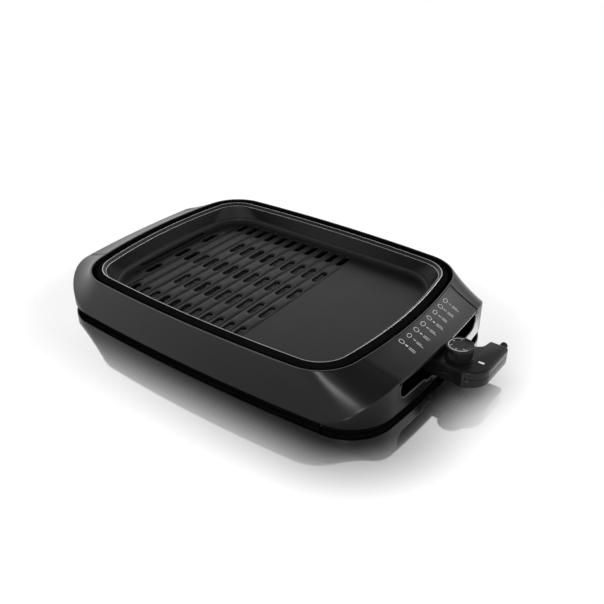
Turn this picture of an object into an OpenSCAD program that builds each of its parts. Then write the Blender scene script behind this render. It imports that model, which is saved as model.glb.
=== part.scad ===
// Electric indoor grill: a low moulded body with flared ends, a lift-off cooking plate that is slotted on
// the left and a flat griddle on the right, a drip tray that slides out of the front, and a plug-in
// temperature control with a knob at the right end. It stands on the XY plane, front towards -Y.

/* [Body] */
// Length of the body at its lower edge
body_length = 557.4; // [550:1:566]
// Depth of the body at its lower edge
body_depth = 365; // [361:1:372]
// Corner radius of the body's lower edge, seen from above
body_corner = 67; // [60:1:72]
// Height of the body's lower edge above the table
skirt_z = 8; // [8:0.5:10]
// Height of the crease between flare and wall along both ends
crease_z = 54.6; // [52:0.2:57]
// Height of the lip around the cooking plate
lip_z = 73.4; // [72:0.2:75]
// Wall thickness of the body shell
wall = 3; // [2.6:0.1:3.4]
// Distance from the plate's raised bead to the body's end
end_ledge = 60.1; // [58:0.5:62]
// Distance from the plate's raised bead to the body's long side
side_ledge = 19.5; // [19:0.1:21]

/* [Cooking plate] */
// Corner radius of the bead, seen from above
bead_corner = 45.2; // [42:0.2:50]
// Height of the bead above the table
bead_z = 74; // [73.5:0.5:76]
// Height of the cooking surface above the table
cook_z = 45.4; // [44.5:0.1:47]
// Thickness of the plate's floor
floor_t = 4; // [3:0.5:4]
// Distance between neighbouring slots of one row
slot_pitch = 20; // [19:0.1:20]
// Length of one slot
slot_length = 33; // [28:0.5:34]
// Width of one slot
slot_width = 10.4; // [8:0.1:11]
// Distance from the plate's bead to the middle of the outer rows of slots
row_margin = 38; // [37:0.5:43]
// Distance from the plate's bead to the first slots, over the flat griddle
griddle_length = 177.6; // [160:0.5:190]

/* [Heating element] */
// Diameter of the heating tube
tube_d = 8; // [6.5:0.5:8]
// Height of the tube's centre line above the table
tube_z = 34; // [33.5:0.1:34.5]

/* [Base and tray] */
// Diameter of one rubber foot
foot_d = 24; // [18:1:26]
// Height of the base's underside above the table
base_z = 1.5; // [1.2:0.1:2]
// Thickness of the base's deck
deck_t = 3; // [2.5:0.5:3.5]
// Distance from the drip tray's floor to the body's end
tray_margin = 72.7; // [70:0.1:77]
// Length of the grip bar on the tray's front
grip_length = 316; // [200:2:340]

/* [Temperature control] */
// Diameter of the knob
knob_d = 36; // [32:1:38]
// Height of the knob's top face above the table
knob_top = 62.5; // [60:0.5:66]
// Height of the housing's underside above the table
plug_z = 24; // [23.5:0.1:24.5]
// Height of the housing
plug_h = 20; // [20:0.5:22]
// How far the housing stands out from the body's end
plug_reach = 64.3; // [62:0.5:70]
// Radius of the housing's outer corner, seen from above
plug_corner = 29; // [27:0.5:31]

/* [Hidden] */
$fn = 48;
eps = 0.01;
fit_gap = 0.05;

// Sizes that follow from the body's
end_x = body_length / 2;
side_y = body_depth / 2;
bead_length = body_length - 2 * end_ledge;
bead_depth = body_depth - 2 * side_ledge;
tray_length = body_length - 2 * tray_margin;

// Outlines seen from above: [half length, half depth, corner radius, long-side bow, short-side bow]
wall_outline = [end_x, side_y, body_corner, 3113, 1349];
bead_outline = [bead_length / 2, bead_depth / 2, bead_corner, 2198, 676];
foot_outline = [bead_length / 2 - 9.2, bead_depth / 2 - 9.6, bead_corner + 16.8, 9000, 800];
lip_out = 17.5;
lip_in = 15.5;
flange_out = 9.2;

// The flare's crease climbs from the lower edge to crease_z round each corner
crease_start = [end_x - 88.7, side_y - 4.5];
crease_run = 158;
flare_sag = 0.25;
flare_drop = 5.2;
flare_steps = [0, 0.25, 0.5, 0.75, 1];

// Handle covers and the end openings below them
cover_t = 2.4;
cover_fit = 0.15;
cover_half = [side_y - 71.7, side_y - 80.1];
cover_low = 50;
cover_steps = 12;
cutter_up = 12;
opening_half = side_y - 87.5;
opening_z = 25;
opening_depth = 7;
opening_corner = 8;
notch_half = 43;
guard_half = 26;
guard_z = 20;
guard_t = 1.5;
peg_r = 2.6;
peg_z = 54;
peg_at = [end_x - 23.7, 60];
cover_screw_r = 1.25;
cover_screw_up = 5.5;
cover_head = [3.4, 2.4];

// Base, tray and the screws between base and body
deck_z = skirt_z + deck_t;
plinth_in = tray_length / 2 + 2;
plinth_inset = 8;
plinth_half = side_y - 32.5;
plinth_block = end_x - plinth_in;
window_half = [plinth_in + 4, plinth_half];
base_fit = 0.4;
tray_sheet = 0.8;
tray_z = base_z + 0.5;
tray_rim_z = base_z + 4.3;
tray_front = -(side_y - 14.5);
tray_back = side_y - 22.5;
tray_rim = 5;
tray_corner = 10;
grip_t = 10;
grip_top = skirt_z - 0.6;
foot_sink = 2;
foot_at = [tray_length / 2 + 29, side_y - 52.5];
screw_at = [end_x - 23.7, side_y - 74.5];
screw_run = 16;
boss_r = 5;

// Rails and posts that carry the element and the plate
rail_w = 8;
rail_t = 2;
rail_half = side_y - 20.5;
rail_screw_y = rail_half - 6;
clip_w = 11;
clip_t = 3;
bend_r = 20;
pin_y = 12;

// Slots: columns are counted from the griddle's edge towards the left
slot_x0 = bead_length / 2 - griddle_length;
slot_end = bead_length / 2 - 39.6;
last_column = floor((slot_x0 + slot_end + eps) / slot_pitch);
row_pitch = (bead_depth / 2 - row_margin) / 2;
drain_x = -(bead_length / 2 - 20.6);
drain_half = bead_depth / 2 - 92;
drain_w = 5.5;
groove_r = 2;
groove_up = 0.9;
groove_half = bead_depth / 2 - 21;

// The element's legs lie between the rows of slots, the left rail between two columns
leg_in = row_pitch / 2;
leg_out = 1.5 * row_pitch;
turn_x = slot_x0 - (last_column - 2.65) * slot_pitch;
bend_x = end_x - 106.7;
inner_turn_x = bend_x - 35;
rail_x = [slot_x0 - (last_column - 3.5) * slot_pitch, slot_x0 + 70];
post_y = leg_out + 16.25;

// Temperature control, measured from the body's right end
shift_x = plug_reach / 2;
plug_front = end_x - 16.7;
plug_out = end_x + plug_reach;
plug_shell = 2;
plug_nose = end_x + 40;
plug_seam = plug_z + plug_h / 2;
plug_back_y = 35;
plug_near_y = -27;
arm_y = 57;
arm_w = 28;
knob_x = end_x + 21.3;
knob_gap = 0.6;
shaft_r = 3;
shaft_fit = 0.05;
rod_r = 3;
pin_r = 2.4;
pin_tip = end_x - 4;
block_x = end_x - 56.7;
block_l = 24;
block_w = 44;
block_down = 8;
block_up = 7;
bracket_t = 1.5;
pin_cone = 2;
gland_collar = [0.7, 1.4];
gland_x = plug_out - 11;
gland_z = plug_z + 13.5;
gland_r = 4.75;
gland_tip = 67.4;
lens_at = [plug_out - 14.3, 4.2];
plug_screw_at = [[plug_front + 8, plug_back_y - 6], [plug_front + 8, plug_near_y + 5.8],
                 [plug_out - 13, 38]];

// Number of segments on half a short side, a corner and half a long side of an outline
side_n = [4, 8, 6];

function lerp(p, q, t) = p + (q - p) * t;
function ease(t) = let (u = min(1, max(0, t))) u * u * (3 - 2 * u);
function grow(o, d) = [for (v = o) v + d];

// Centre of the corner arc: it touches both side arcs from the inside
function corner_centre(o) =
    let (p = [0, o[1] - o[3]], q = [o[0] - o[4], 0], dp = o[3] - o[2], dq = o[4] - o[2],
         d = norm(q - p), u = (q - p) / d, t = (dp * dp - dq * dq + d * d) / (2 * d))
    p + t * u + sqrt(dp * dp - t * t) * [u[1], -u[0]];

function arc_points(c, r, a0, a1, n) =
    [for (i = [0 : n - 1]) c + r * [cos(lerp(a0, a1, i / n)), sin(lerp(a0, a1, i / n))]];

// A quarter of an outline, from the end of the X axis to the end of the Y axis
function quarter(o) =
    let (c = corner_centre(o), p = [0, o[1] - o[3]], q = [o[0] - o[4], 0],
         ap = atan2(c[1] - p[1], c[0] - p[0]), aq = atan2(c[1] - q[1], c[0] - q[0]))
    concat(arc_points(q, o[4], 0, aq, side_n[0]), arc_points(c, o[2], aq, ap, side_n[1]),
           arc_points(p, o[3], ap, 90, side_n[2]), [[0, o[1]]]);

// The whole outline, counter-clockwise
function ring(o) =
    let (q = quarter(o), n = len(q) - 1)
    concat([for (i = [0 : n - 1]) q[i]], [for (i = [n : -1 : 1]) [-q[i][0], q[i][1]]],
           [for (i = [0 : n - 1]) -q[i]], [for (i = [n : -1 : 1]) [q[i][0], -q[i][1]]]);

function at_z(points, z) = [for (p = points) [p[0], p[1], z]];

// Half length of an outline at a given y, on its short side
function half_at(o, y) = o[0] - o[4] + sqrt(o[4] * o[4] - y * y);

function sagged(t) = t + flare_sag * t * (1 - t);

// Height of the crease above the lower edge at a point of the wall
function crease_height(p) =
    skirt_z + 1 + (crease_z - skirt_z - 1)
    * ease((abs(p[0]) - crease_start[0] + crease_start[1] - abs(p[1])) / crease_run);

// A ring of the flare: t runs from 0 at the lip to 1 at the crease, the surface is sunk by drop
function flare_ring(t, inset, drop) =
    let (lip = ring(grow(bead_outline, lip_out)), out = ring(grow(wall_outline, -inset)),
         base = ring(wall_outline))
    [for (i = [0 : len(lip) - 1])
        let (z = lerp(lip_z, crease_height(base[i]), sagged(t)))
        [each lerp(lip[i], out[i], t), max(skirt_z + 0.4, z - drop)]];

// A point of the end flare at t between lip and crease, v between the two ends of a handle cover
function end_point(t, v, wide, z) =
    let (y = v * (lerp(cover_half[0], cover_half[1], t) + wide))
    [lerp(half_at(grow(bead_outline, lip_out), y), half_at(wall_outline, y), t), y,
     lerp(lip_z, crease_z, sagged(t)) + z];

// Section of a handle cover: along its upper face, down over the wall and back underneath
function cover_section(v, wide, up, out, depth) =
    let (edge = end_point(1, v, wide, 0), low = cover_low - wide, last = len(flare_steps) - 1)
    concat([for (i = [0 : last - 1]) end_point(flare_steps[i], v, wide, up)],
           [[edge[0] + out, edge[1], edge[2] + up], [edge[0] + out, edge[1], low]],
           [[edge[0] - depth, edge[1], low], [edge[0] - depth, edge[1], edge[2] - depth]],
           [for (i = [last - 1 : -1 : 0]) end_point(flare_steps[i], v, wide, -depth)]);

// Faces that join stacked rings; a loop of rings closes on itself, a stack gets two caps
function band(i, j, n) = [for (k = [0 : n - 1]) each
    [[i * n + k, j * n + k, i * n + (k + 1) % n], [i * n + (k + 1) % n, j * n + k, j * n + (k + 1) % n]]];

module ring_loop(rings) {
    n = len(rings[0]);
    m = len(rings);
    polyhedron([for (r = rings) each r], [for (i = [0 : m - 1]) each band(i, (i + 1) % m, n)]);
}

// Sections that each run out along one side and back along the other, with a ladder of faces as caps
module section_stack(rings) {
    n = len(rings[0]);
    m = len(rings);
    last = (m - 1) * n;
    polyhedron([for (r = rings) each r],
        concat([for (i = [0 : m - 2]) each band(i, i + 1, n)],
               [for (k = [0 : n / 2 - 2]) each
                   [[k, k + 1, n - 1 - k], [k + 1, n - 2 - k, n - 1 - k]]],
               [for (k = [0 : n / 2 - 2]) each
                   [[last + k, last + n - 1 - k, last + k + 1],
                    [last + k + 1, last + n - 1 - k, last + n - 2 - k]]]));
}

module rounded(size, r) {
    square([size[0] - 2 * r, size[1]], center = true);
    square([size[0], size[1] - 2 * r], center = true);
    for (x = [-1, 1], y = [-1, 1])
        translate([x * (size[0] / 2 - r), y * (size[1] / 2 - r)]) circle(r);
}

module stadium(length, width) {
    square([width, length - width], center = true);
    for (s = [-1, 1]) translate([0, s * (length - width) / 2]) circle(d = width);
}

module slab(z0, z1) {
    translate([0, 0, z0]) linear_extrude(z1 - z0) children();
}

module post(p, r, z0, z1) {
    translate([p[0], p[1], z0]) cylinder(r = r, h = z1 - z0);
}

// A rod along X
module rod(x0, x1, y, z, r) {
    translate([x0, y, z]) rotate([0, 90, 0]) cylinder(r = r, h = x1 - x0);
}

module four(p) {
    for (x = [-1, 1], y = [-1, 1]) translate([x * p[0], y * p[1], 0]) children();
}

// Body shell, handle covers and their fixings

module cover_skin(wide, up, out, depth) {
    section_stack([for (k = [-1 : 2 / cover_steps : 1]) cover_section(k, wide, up, out, depth)]);
}

module end_opening(notch) {
    translate([end_x - opening_depth, 0, 0]) rotate([90, 0, 90]) linear_extrude(20) {
        translate([0, (opening_z + cover_low + 2) / 2])
            rounded([2 * opening_half, cover_low + 2 - opening_z], opening_corner);
        if (notch) {
            translate([-notch_half, guard_z]) square([2 * notch_half, opening_z]);
            translate([-guard_half, 0]) square([2 * guard_half, opening_z]);
        }
    }
}

module body_shell() {
    color("#26262a") difference() {
        union() {
            ring_loop([flare_ring(0.15, 3 * wall, flare_drop + 1), flare_ring(0.5, 2 * wall, flare_drop),
                       flare_ring(1, wall, flare_drop), at_z(ring(grow(wall_outline, -wall)), skirt_z),
                       at_z(ring(wall_outline), skirt_z), flare_ring(1, 0, 0), flare_ring(0.75, 0, 0),
                       flare_ring(0.5, 0, 0), flare_ring(0.25, 0, 0), flare_ring(0, 0, 0),
                       at_z(ring(grow(bead_outline, lip_in + 0.8)), lip_z - 0.1),
                       at_z(ring(grow(bead_outline, lip_in)), lip_z - 1),
                       at_z(ring(grow(bead_outline, lip_in)), lip_z - 7)]);
            four(screw_at) post([0, 0], boss_r, deck_z, crease_z + 4);
        }
        for (side = [0, 1]) mirror([side, 0, 0]) {
            cover_skin(cover_fit, cutter_up, opening_depth, cover_t + cover_fit);
            end_opening(side == 0);
            for (s = [-1, 1]) post([peg_at[0], s * peg_at[1]], peg_r + 0.2, peg_z - 3, peg_z + 9);
        }
        four(screw_at) post([0, 0], 1.95, deck_z - 1, deck_z + screw_run + 2);
    }
}

module handle_cover() {
    t = (peg_at[0] - half_at(grow(bead_outline, lip_out), peg_at[1]))
        / (half_at(wall_outline, peg_at[1]) - half_at(grow(bead_outline, lip_out), peg_at[1]));
    peg_top = lerp(lip_z, crease_z, sagged(t)) - cover_t / 2;
    difference() {
        union() {
            cover_skin(0, 0, 0, cover_t);
            for (s = [-1, 1]) post([peg_at[0], s * peg_at[1]], peg_r, peg_z, peg_top);
        }
        for (s = [-1, 1]) 
            post([peg_at[0], s * peg_at[1]], cover_screw_r + 0.05, peg_z - 1, peg_z + cover_screw_up + 0.5);
    }
}

module right_handle_cover() {
    color("#4a4a4e") handle_cover();
}

module left_handle_cover() {
    color("#4a4a4e") mirror([1, 0, 0]) handle_cover();
}

module cover_screws() {
    color("silver") four(peg_at) {
        post([0, 0], cover_screw_r, peg_z - 1, peg_z + cover_screw_up);
        post([0, 0], cover_head[0], peg_z - cover_head[1], peg_z);
    }
}

module socket_guard() {
    color("#8a8a8a") intersection() {
        difference() {
            slab(deck_z, guard_z) polygon(ring(wall_outline));
            slab(deck_z + guard_t, guard_z + 1) polygon(ring(grow(wall_outline, -guard_t)));
        }
        translate([end_x - 17, -guard_half + 0.2, 0]) cube([30, 2 * guard_half - 0.4, 40]);
    }
}

// Base, feet and screws

module base_plan() {
    difference() {
        polygon(ring(grow(wall_outline, -wall - base_fit)));
        rounded([2 * window_half[0], 2 * window_half[1]], 12);
    }
}

module base_frame() {
    color("#151517") difference() {
        union() {
            slab(skirt_z, deck_z) base_plan();
            slab(base_z, skirt_z) intersection() {
                polygon(ring(grow(wall_outline, -plinth_inset)));
                for (s = [-1, 1]) translate([s * (plinth_in + plinth_block / 2), 0])
                    square([plinth_block, 2 * plinth_half], center = true);
            }
            slab(base_z, skirt_z) translate([0, tray_back + 8]) square([2 * plinth_in + 20, 8], center = true);
            slab(skirt_z - 4, deck_z) translate([end_x - 11, 0])
                square([16, 2 * guard_half - 0.4], center = true);
        }
        for (s = [-1, 1]) translate([s * (tray_length / 2 + tray_rim / 2 + 1), 0, tray_rim_z + 0.6])
            cube([tray_rim + 3, 2 * (plinth_half + 1), 1.2], center = true);
        four(foot_at) post([0, 0], foot_d / 2 + fit_gap, 0, base_z + foot_sink);
        four(screw_at) post([0, 0], 4.3, 0, base_z + 3);
        four(screw_at) post([0, 0], 1.95, 0, deck_z + 1);
        for (x = rail_x, s = [-1, 1]) post([x, s * rail_screw_y], 1.55, skirt_z - 1, deck_z + 1);
    }
}

module rubber_feet() {
    color("#1c1c1c") four(foot_at) post([0, 0], foot_d / 2, 0, base_z + foot_sink);
}

module base_screws() {
    color("silver") four(screw_at) {
        post([0, 0], 4, base_z + 0.6, base_z + 3);
        post([0, 0], 1.9, base_z + 2, deck_z + screw_run);
    }
}

// Drip tray

module drip_tray() {
    color("#9a9a9c") translate([0, (tray_front + tray_back) / 2, 0]) {
        deep = tray_back - tray_front;
        difference() {
            slab(tray_z, tray_rim_z + tray_sheet) rounded([tray_length, deep], tray_corner);
            slab(tray_z + tray_sheet, skirt_z)
                rounded([tray_length - 2 * tray_sheet, deep - 2 * tray_sheet], tray_corner - tray_sheet);
        }
        slab(tray_rim_z, tray_rim_z + tray_sheet) difference() {
            square([tray_length + 2 * tray_rim, deep - 2 * tray_corner], center = true);
            square([tray_length - 1, deep], center = true);
        }
    }
}

module tray_grip() {
    color("#1a1a1c") translate([0, tray_front - grip_t / 2, 0])
        slab(base_z + 0.2, grip_top) rounded([grip_length, grip_t], 4.9);
}

// Cooking plate

module plate_section() {
    bead = bead_outline;
    foot = foot_outline;
    under = cook_z - floor_t;
    ring_loop([at_z(ring(grow(bead, flange_out)), bead_z - 5),
               at_z(ring(grow(bead, flange_out)), bead_z - 3.4),
               at_z(ring(grow(bead, flange_out - 2)), bead_z - 1.8),
               at_z(ring(grow(bead, 2.5)), bead_z - 0.9),
               at_z(ring(bead), bead_z),
               at_z(ring(grow(bead, -1.8)), bead_z - 0.8),
               at_z(ring(grow(bead, -3.6)), bead_z - 3.2),
               at_z(ring(foot), cook_z + 7.1),
               at_z(ring(grow(foot, -1.2)), cook_z + 6.6),
               at_z(ring(grow(foot, -3)), cook_z + 3),
               at_z(ring(grow(foot, -7)), cook_z + 0.6),
               at_z(ring(grow(foot, -11)), cook_z),
               at_z(ring(grow(foot, -11)), under),
               at_z(ring(grow(foot, -6)), under),
               at_z(ring(grow(foot, 1.5)), cook_z + 1),
               at_z(ring(grow(bead, -1)), bead_z - 6.5),
               at_z(ring(grow(bead, 1)), bead_z - 4.8),
               at_z(ring(grow(bead, flange_out - 2)), bead_z - 5)]);
}

module slot_at(column, row) {
    translate([slot_x0 - column * slot_pitch, row * row_pitch]) stadium(slot_length, slot_width);
}

// The outer rows have one slot less, the rows beside them leave out the two over the element's turns
module slots() {
    for (column = [0 : last_column - 1], s = [-2, 2]) slot_at(column, s);
    for (column = [0 : last_column - 3], s = [-1, 1]) slot_at(column, s);
    for (s = [-1, 1]) slot_at(last_column, s);
    for (column = [0 : last_column]) slot_at(column, 0);
}

module plate_casting() {
    plate_section();
    difference() {
        slab(cook_z - floor_t, cook_z) difference() {
            polygon(ring(grow(foot_outline, -10)));
            slots();
        }
        for (k = [-0.5 : 1 : last_column - 0.5])
            translate([slot_x0 - k * slot_pitch, groove_half, cook_z + groove_up])
                rotate([90, 0, 0]) cylinder(r = groove_r, h = 2 * groove_half);
    }
}

module grill_plate() {
    color("#3c3c3f") difference() {
        plate_casting();
        slab(cook_z - floor_t - 1, cook_z + floor_t)
            translate([drain_x, 0]) stadium(2 * drain_half, drain_w);
    }
}

// Heating element and what carries it

module support_rails() {
    color("#b0b0b0") for (x = rail_x) slab(deck_z, deck_z + rail_t) translate([x, 0]) difference() {
        square([rail_w, 2 * rail_half], center = true);
        for (s = [-1, 1]) translate([0, s * rail_screw_y]) circle(1.55);
    }
}

module rail_screws() {
    color("silver") for (x = rail_x, s = [-1, 1]) {
        post([x, s * rail_screw_y], 1.5, skirt_z + 0.2, deck_z + rail_t + 1);
        post([x, s * rail_screw_y], 2.8, deck_z + rail_t, deck_z + rail_t + 2);
    }
}

module plate_supports() {
    color("#b8b8b8") for (x = rail_x, s = [-1, 1])
        slab(deck_z + rail_t, cook_z - floor_t) translate([x, s * post_y]) square(rail_w, center = true);
}

module element_clips() {
    color("#c0c0c0") for (x = rail_x, y = [-leg_out, -leg_in, leg_in, leg_out]) difference() {
        slab(deck_z + rail_t, tube_z + 1) translate([x, y]) square([clip_t, clip_w], center = true);
        rod(x - 5, x + 5, y, tube_z, tube_d / 2 + fit_gap);
    }
}

module tube_arc(centre, r, from, sweep) {
    translate([centre[0], centre[1], tube_z]) rotate([0, 0, from])
        rotate_extrude(angle = sweep, $fn = 96) translate([r, 0]) circle(d = tube_d);
}

module half_element() {
    tube = tube_d / 2;
    rod(turn_x - eps, inner_turn_x + eps, leg_in, tube_z, tube);
    tube_arc([turn_x, row_pitch], row_pitch / 2, 90, 180);
    rod(turn_x - eps, bend_x + eps, leg_out, tube_z, tube);
    tube_arc([bend_x, leg_out - bend_r], bend_r, 0, 90);
    translate([bend_x + bend_r, leg_out - bend_r, tube_z]) rotate([90, 0, 0])
        cylinder(r = tube, h = leg_out - 2 * bend_r - pin_y);
    tube_arc([bend_x + 2 * bend_r, pin_y + bend_r], bend_r, 180, 90);
    rod(bend_x + 2 * bend_r - eps, block_x, pin_y, tube_z, tube);
}

module heating_element() {
    color("#6a5a50") union() {
        half_element();
        mirror([0, 1, 0]) half_element();
        tube_arc([inner_turn_x, 0], leg_in, -90, 180);
    }
}

module terminal_block() {
    color("#e6e0d2") difference() {
        slab(tube_z - block_down, tube_z + block_up) translate([block_x + block_l / 2, 0])
            square([block_l, block_w], center = true);
        for (s = [-1, 1]) rod(block_x - 1, block_x + block_l + 1, s * pin_y, tube_z, pin_r + fit_gap);
        rod(block_x - 1, block_x + block_l + 1, 0, tube_z, rod_r + 0.6);
    }
}

module terminal_bracket() {
    seat = tube_z - block_down;
    color("#b4b4b4") translate([block_x + block_l / 2, 0]) difference() {
        slab(deck_z, tube_z + block_up - 2)
            square([block_l - 4, block_w + 2 * bracket_t], center = true);
        slab(seat, tube_z + block_up + 1) square([block_l, block_w], center = true);
        slab(deck_z + bracket_t, seat - bracket_t) square([block_l, block_w], center = true);
    }
}

module contact_pins() {
    color("#d8d8d8") for (s = [-1, 1]) {
        rod(block_x, pin_tip - pin_cone, s * pin_y, tube_z, pin_r);
        translate([pin_tip - pin_cone, s * pin_y, tube_z]) rotate([0, 90, 0])
            cylinder(r1 = pin_r, r2 = pin_r / 2, h = pin_cone);
    }
}

// Temperature control

module plug_plan(inset) {
    block = [plug_front + inset, plug_near_y + inset];
    translate(block) square([plug_nose - block[0], plug_back_y - inset - block[1]]);
    translate([plug_out - arm_w + inset, 0]) square([arm_w - 2 * inset, arm_y - inset]);
    translate([plug_out - plug_corner, 0]) circle(plug_corner - inset, $fn = 96);
}

module plug_bores() {
    for (s = [-1, 1]) rod(plug_front - 1, plug_front + plug_shell + 1, s * pin_y, tube_z, pin_r + 0.4);
    rod(plug_front - 1, plug_front + plug_shell + 1, 0, tube_z, rod_r + fit_gap);
    translate([gland_x, arm_y + 1, gland_z]) rotate([90, 0, 0]) cylinder(r = gland_r + fit_gap, h = plug_shell + 2);
}

module plug_lower_shell() {
    color("#1d1d1f") difference() {
        union() {
            difference() {
                slab(plug_z, plug_seam) plug_plan(0);
                slab(plug_z + plug_shell, plug_seam + 1) plug_plan(plug_shell);
            }
            for (p = plug_screw_at) post(p, 3.6, plug_z + 1, plug_seam);
            for (s = [-1, 1]) slab(plug_z + 1, tube_z - 4)
                translate([plug_front + 12, s * pin_y]) square([8, 6], center = true);
        }
        plug_bores();
        for (p = plug_screw_at) post(p, 2.8, plug_z - 1, plug_z + 1.8);
        for (p = plug_screw_at) post(p, 1.45, plug_z - 1, plug_seam + 1);
    }
}

module plug_upper_shell() {
    top = plug_z + plug_h;
    color("#1d1d1f") difference() {
        union() {
            difference() {
                slab(plug_seam, top) plug_plan(0);
                slab(plug_seam - 1, top - plug_shell) plug_plan(plug_shell);
            }
            for (p = plug_screw_at) post(p, 3.6, plug_seam, top - 1);
        }
        plug_bores();
        post([knob_x, 0], 5, plug_seam, top + 1);
        slab(top - 3, top + 1) translate(lens_at) rounded([8.4, 3.4], 1.6);
        for (p = plug_screw_at) post(p, 1.45, plug_seam - 1, plug_seam + 6);
    }
}

module plug_screws() {
    color("silver") for (p = plug_screw_at) {
        post(p, 2.6, plug_z + 0.2, plug_z + 1.8);
        post(p, 1.4, plug_z + 1, plug_seam + 5);
    }
}

module shaft_bush() {
    top = plug_z + plug_h;
    color("#c9a24a") difference() {
        union() {
            post([knob_x, 0], 5, top - plug_shell, top + 0.3);
            post([knob_x, 0], 6.5, top - plug_shell - 1, top - plug_shell);
        }
        post([knob_x, 0], shaft_r + shaft_fit, plug_seam, top + 1);
    }
}

module thermostat_switch() {
    color("#d9c9a0") difference() {
        slab(plug_z + plug_shell, plug_z + plug_h - plug_shell - 1)
            translate([knob_x - 1, 0]) square([26, 22], center = true);
        post([knob_x, 0], shaft_r + shaft_fit, plug_z + 12, plug_z + plug_h);
        rod(plug_front, knob_x - 10, 0, tube_z, rod_r + fit_gap);
    }
}

module contact_sockets() {
    color("#caa04a") for (s = [-1, 1]) difference() {
        rod(plug_front + plug_shell, plug_front + 21, s * pin_y, tube_z, 4);
        rod(plug_front, plug_front + 18, s * pin_y, tube_z, pin_r + fit_gap);
    }
}

module sensor_rod() {
    color("#cfcfcf") {
        rod(bend_x + 2 * bend_r - 2, knob_x - 10, 0, tube_z, rod_r);
        translate([bend_x + 2 * bend_r - 2, 0, tube_z]) sphere(rod_r);
    }
}

module sensor_sleeve() {
    color("#9c9c9c") difference() {
        rod(plug_front - 9, plug_front, 0, tube_z, rod_r + 1.8);
        rod(plug_front - 10, plug_front + 1, 0, tube_z, rod_r + fit_gap);
    }
}

module pilot_lens() {
    top = plug_z + plug_h;
    color("#b03020") {
        slab(top - plug_shell, top + 0.4) translate(lens_at) rounded([8.2, 3.2], 1.5);
        slab(top - plug_shell - 0.8, top - plug_shell) translate(lens_at) rounded([10, 5], 1.5);
    }
}

module cord_gland() {
    color("#161616") difference() {
        union() {
            translate([gland_x, gland_tip, gland_z]) rotate([90, 0, 0])
                cylinder(r = gland_r, h = gland_tip - arm_y + plug_shell);
            intersection() {
                translate([gland_x, arm_y - plug_shell, gland_z]) rotate([90, 0, 0])
                    cylinder(r = gland_r + gland_collar[0], h = gland_collar[1]);
                slab(plug_z + plug_shell, plug_z + plug_h - plug_shell - fit_gap)
                    translate([gland_x, arm_y - plug_shell]) square(4 * gland_r, center = true);
            }
        }
        translate([gland_x, gland_tip + 1, gland_z]) rotate([90, 0, 0]) cylinder(r = 3.3, h = 30);
    }
}

module knob() {
    low = plug_z + plug_h + knob_gap;
    color("#202023") translate([knob_x, 0, 0]) difference() {
        post([0, 0], knob_d / 2, low, knob_top);
        difference() {
            post([0, 0], knob_d / 2 - 2.5, low - 1, knob_top - 5);
            post([0, 0], shaft_r + 3, low, knob_top);
        }
        post([0, 0], shaft_r, low - 1, knob_top - 4);
    }
}

module knob_shaft() {
    color("#bdbdbd") post([knob_x, 0], shaft_r, plug_z + 12, knob_top - 4);
}

// The parts are drawn about the body's middle and moved so that the origin is below the middle of it all

module place() {
    translate([-shift_x, 0, 0]) children();
}

place() base_frame();
place() rubber_feet();
place() base_screws();
place() body_shell();
place() left_handle_cover();
place() right_handle_cover();
place() cover_screws();
place() support_rails();
place() rail_screws();
place() plate_supports();
place() heating_element();
place() element_clips();
place() terminal_bracket();
place() terminal_block();
place() contact_pins();
place() socket_guard();
place() grill_plate();
place() drip_tray();
place() tray_grip();
place() plug_lower_shell();
place() plug_upper_shell();
place() plug_screws();
place() thermostat_switch();
place() contact_sockets();
place() sensor_rod();
place() sensor_sleeve();
place() shaft_bush();
place() pilot_lens();
place() cord_gland();
place() knob();
place() knob_shaft();
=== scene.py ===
"""Looks of a low electric tabletop grill: body, handle covers, cooking plate, control plug and base."""

from __future__ import annotations

import logging
import math
from dataclasses import dataclass, field
from enum import Enum
from typing import Sequence

import bmesh
import bpy
import numpy as np
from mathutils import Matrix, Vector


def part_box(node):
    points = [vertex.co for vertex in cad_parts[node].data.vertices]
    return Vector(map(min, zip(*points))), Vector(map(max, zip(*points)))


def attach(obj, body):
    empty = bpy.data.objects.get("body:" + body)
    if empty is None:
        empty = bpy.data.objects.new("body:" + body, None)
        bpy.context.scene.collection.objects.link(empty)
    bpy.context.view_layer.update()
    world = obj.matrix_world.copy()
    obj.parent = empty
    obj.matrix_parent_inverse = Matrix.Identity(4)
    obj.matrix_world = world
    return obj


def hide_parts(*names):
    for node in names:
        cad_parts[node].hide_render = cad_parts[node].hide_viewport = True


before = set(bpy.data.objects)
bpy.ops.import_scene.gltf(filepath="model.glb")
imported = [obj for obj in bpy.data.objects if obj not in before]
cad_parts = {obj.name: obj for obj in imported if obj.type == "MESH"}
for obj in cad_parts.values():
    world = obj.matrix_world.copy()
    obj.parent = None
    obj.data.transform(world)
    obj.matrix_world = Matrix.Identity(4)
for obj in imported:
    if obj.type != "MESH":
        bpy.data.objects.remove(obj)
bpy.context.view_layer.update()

LOG = logging.getLogger("tabletop_grill")
MM = 0.001
# Height of a capital letter per unit of the built-in font's size
CAP_HEIGHT = 0.72
# How far printed ink lies above the surface, in millimetres
INK_LIFT = 0.06


class Body(str, Enum):
    """The rigid bodies of the grill that a piece can ride on."""

    HOUSING = "housing"
    PLATE = "cooking_plate"
    TRAY = "tray"
    PLUG = "control_plug"
    KNOB = "heat_knob"


class Pattern(Enum):
    """The kinds of fine surface pattern that a finish can carry."""

    NONE = "none"
    GRAIN = "moulded grain"
    BRUSHED = "drawn lines along one axis"
    SPECKLE = "sprayed coating with specks"


# Shapes


def plan_shift() -> float:
    """How far the body's middle lies from the frame's origin along X, in millimetres.

    Returns:
        The shift, which is negative because the plug stands out to the right.
    """
    low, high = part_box("body_shell")
    return 0.5 * (low[0] + high[0]) / MM


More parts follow.
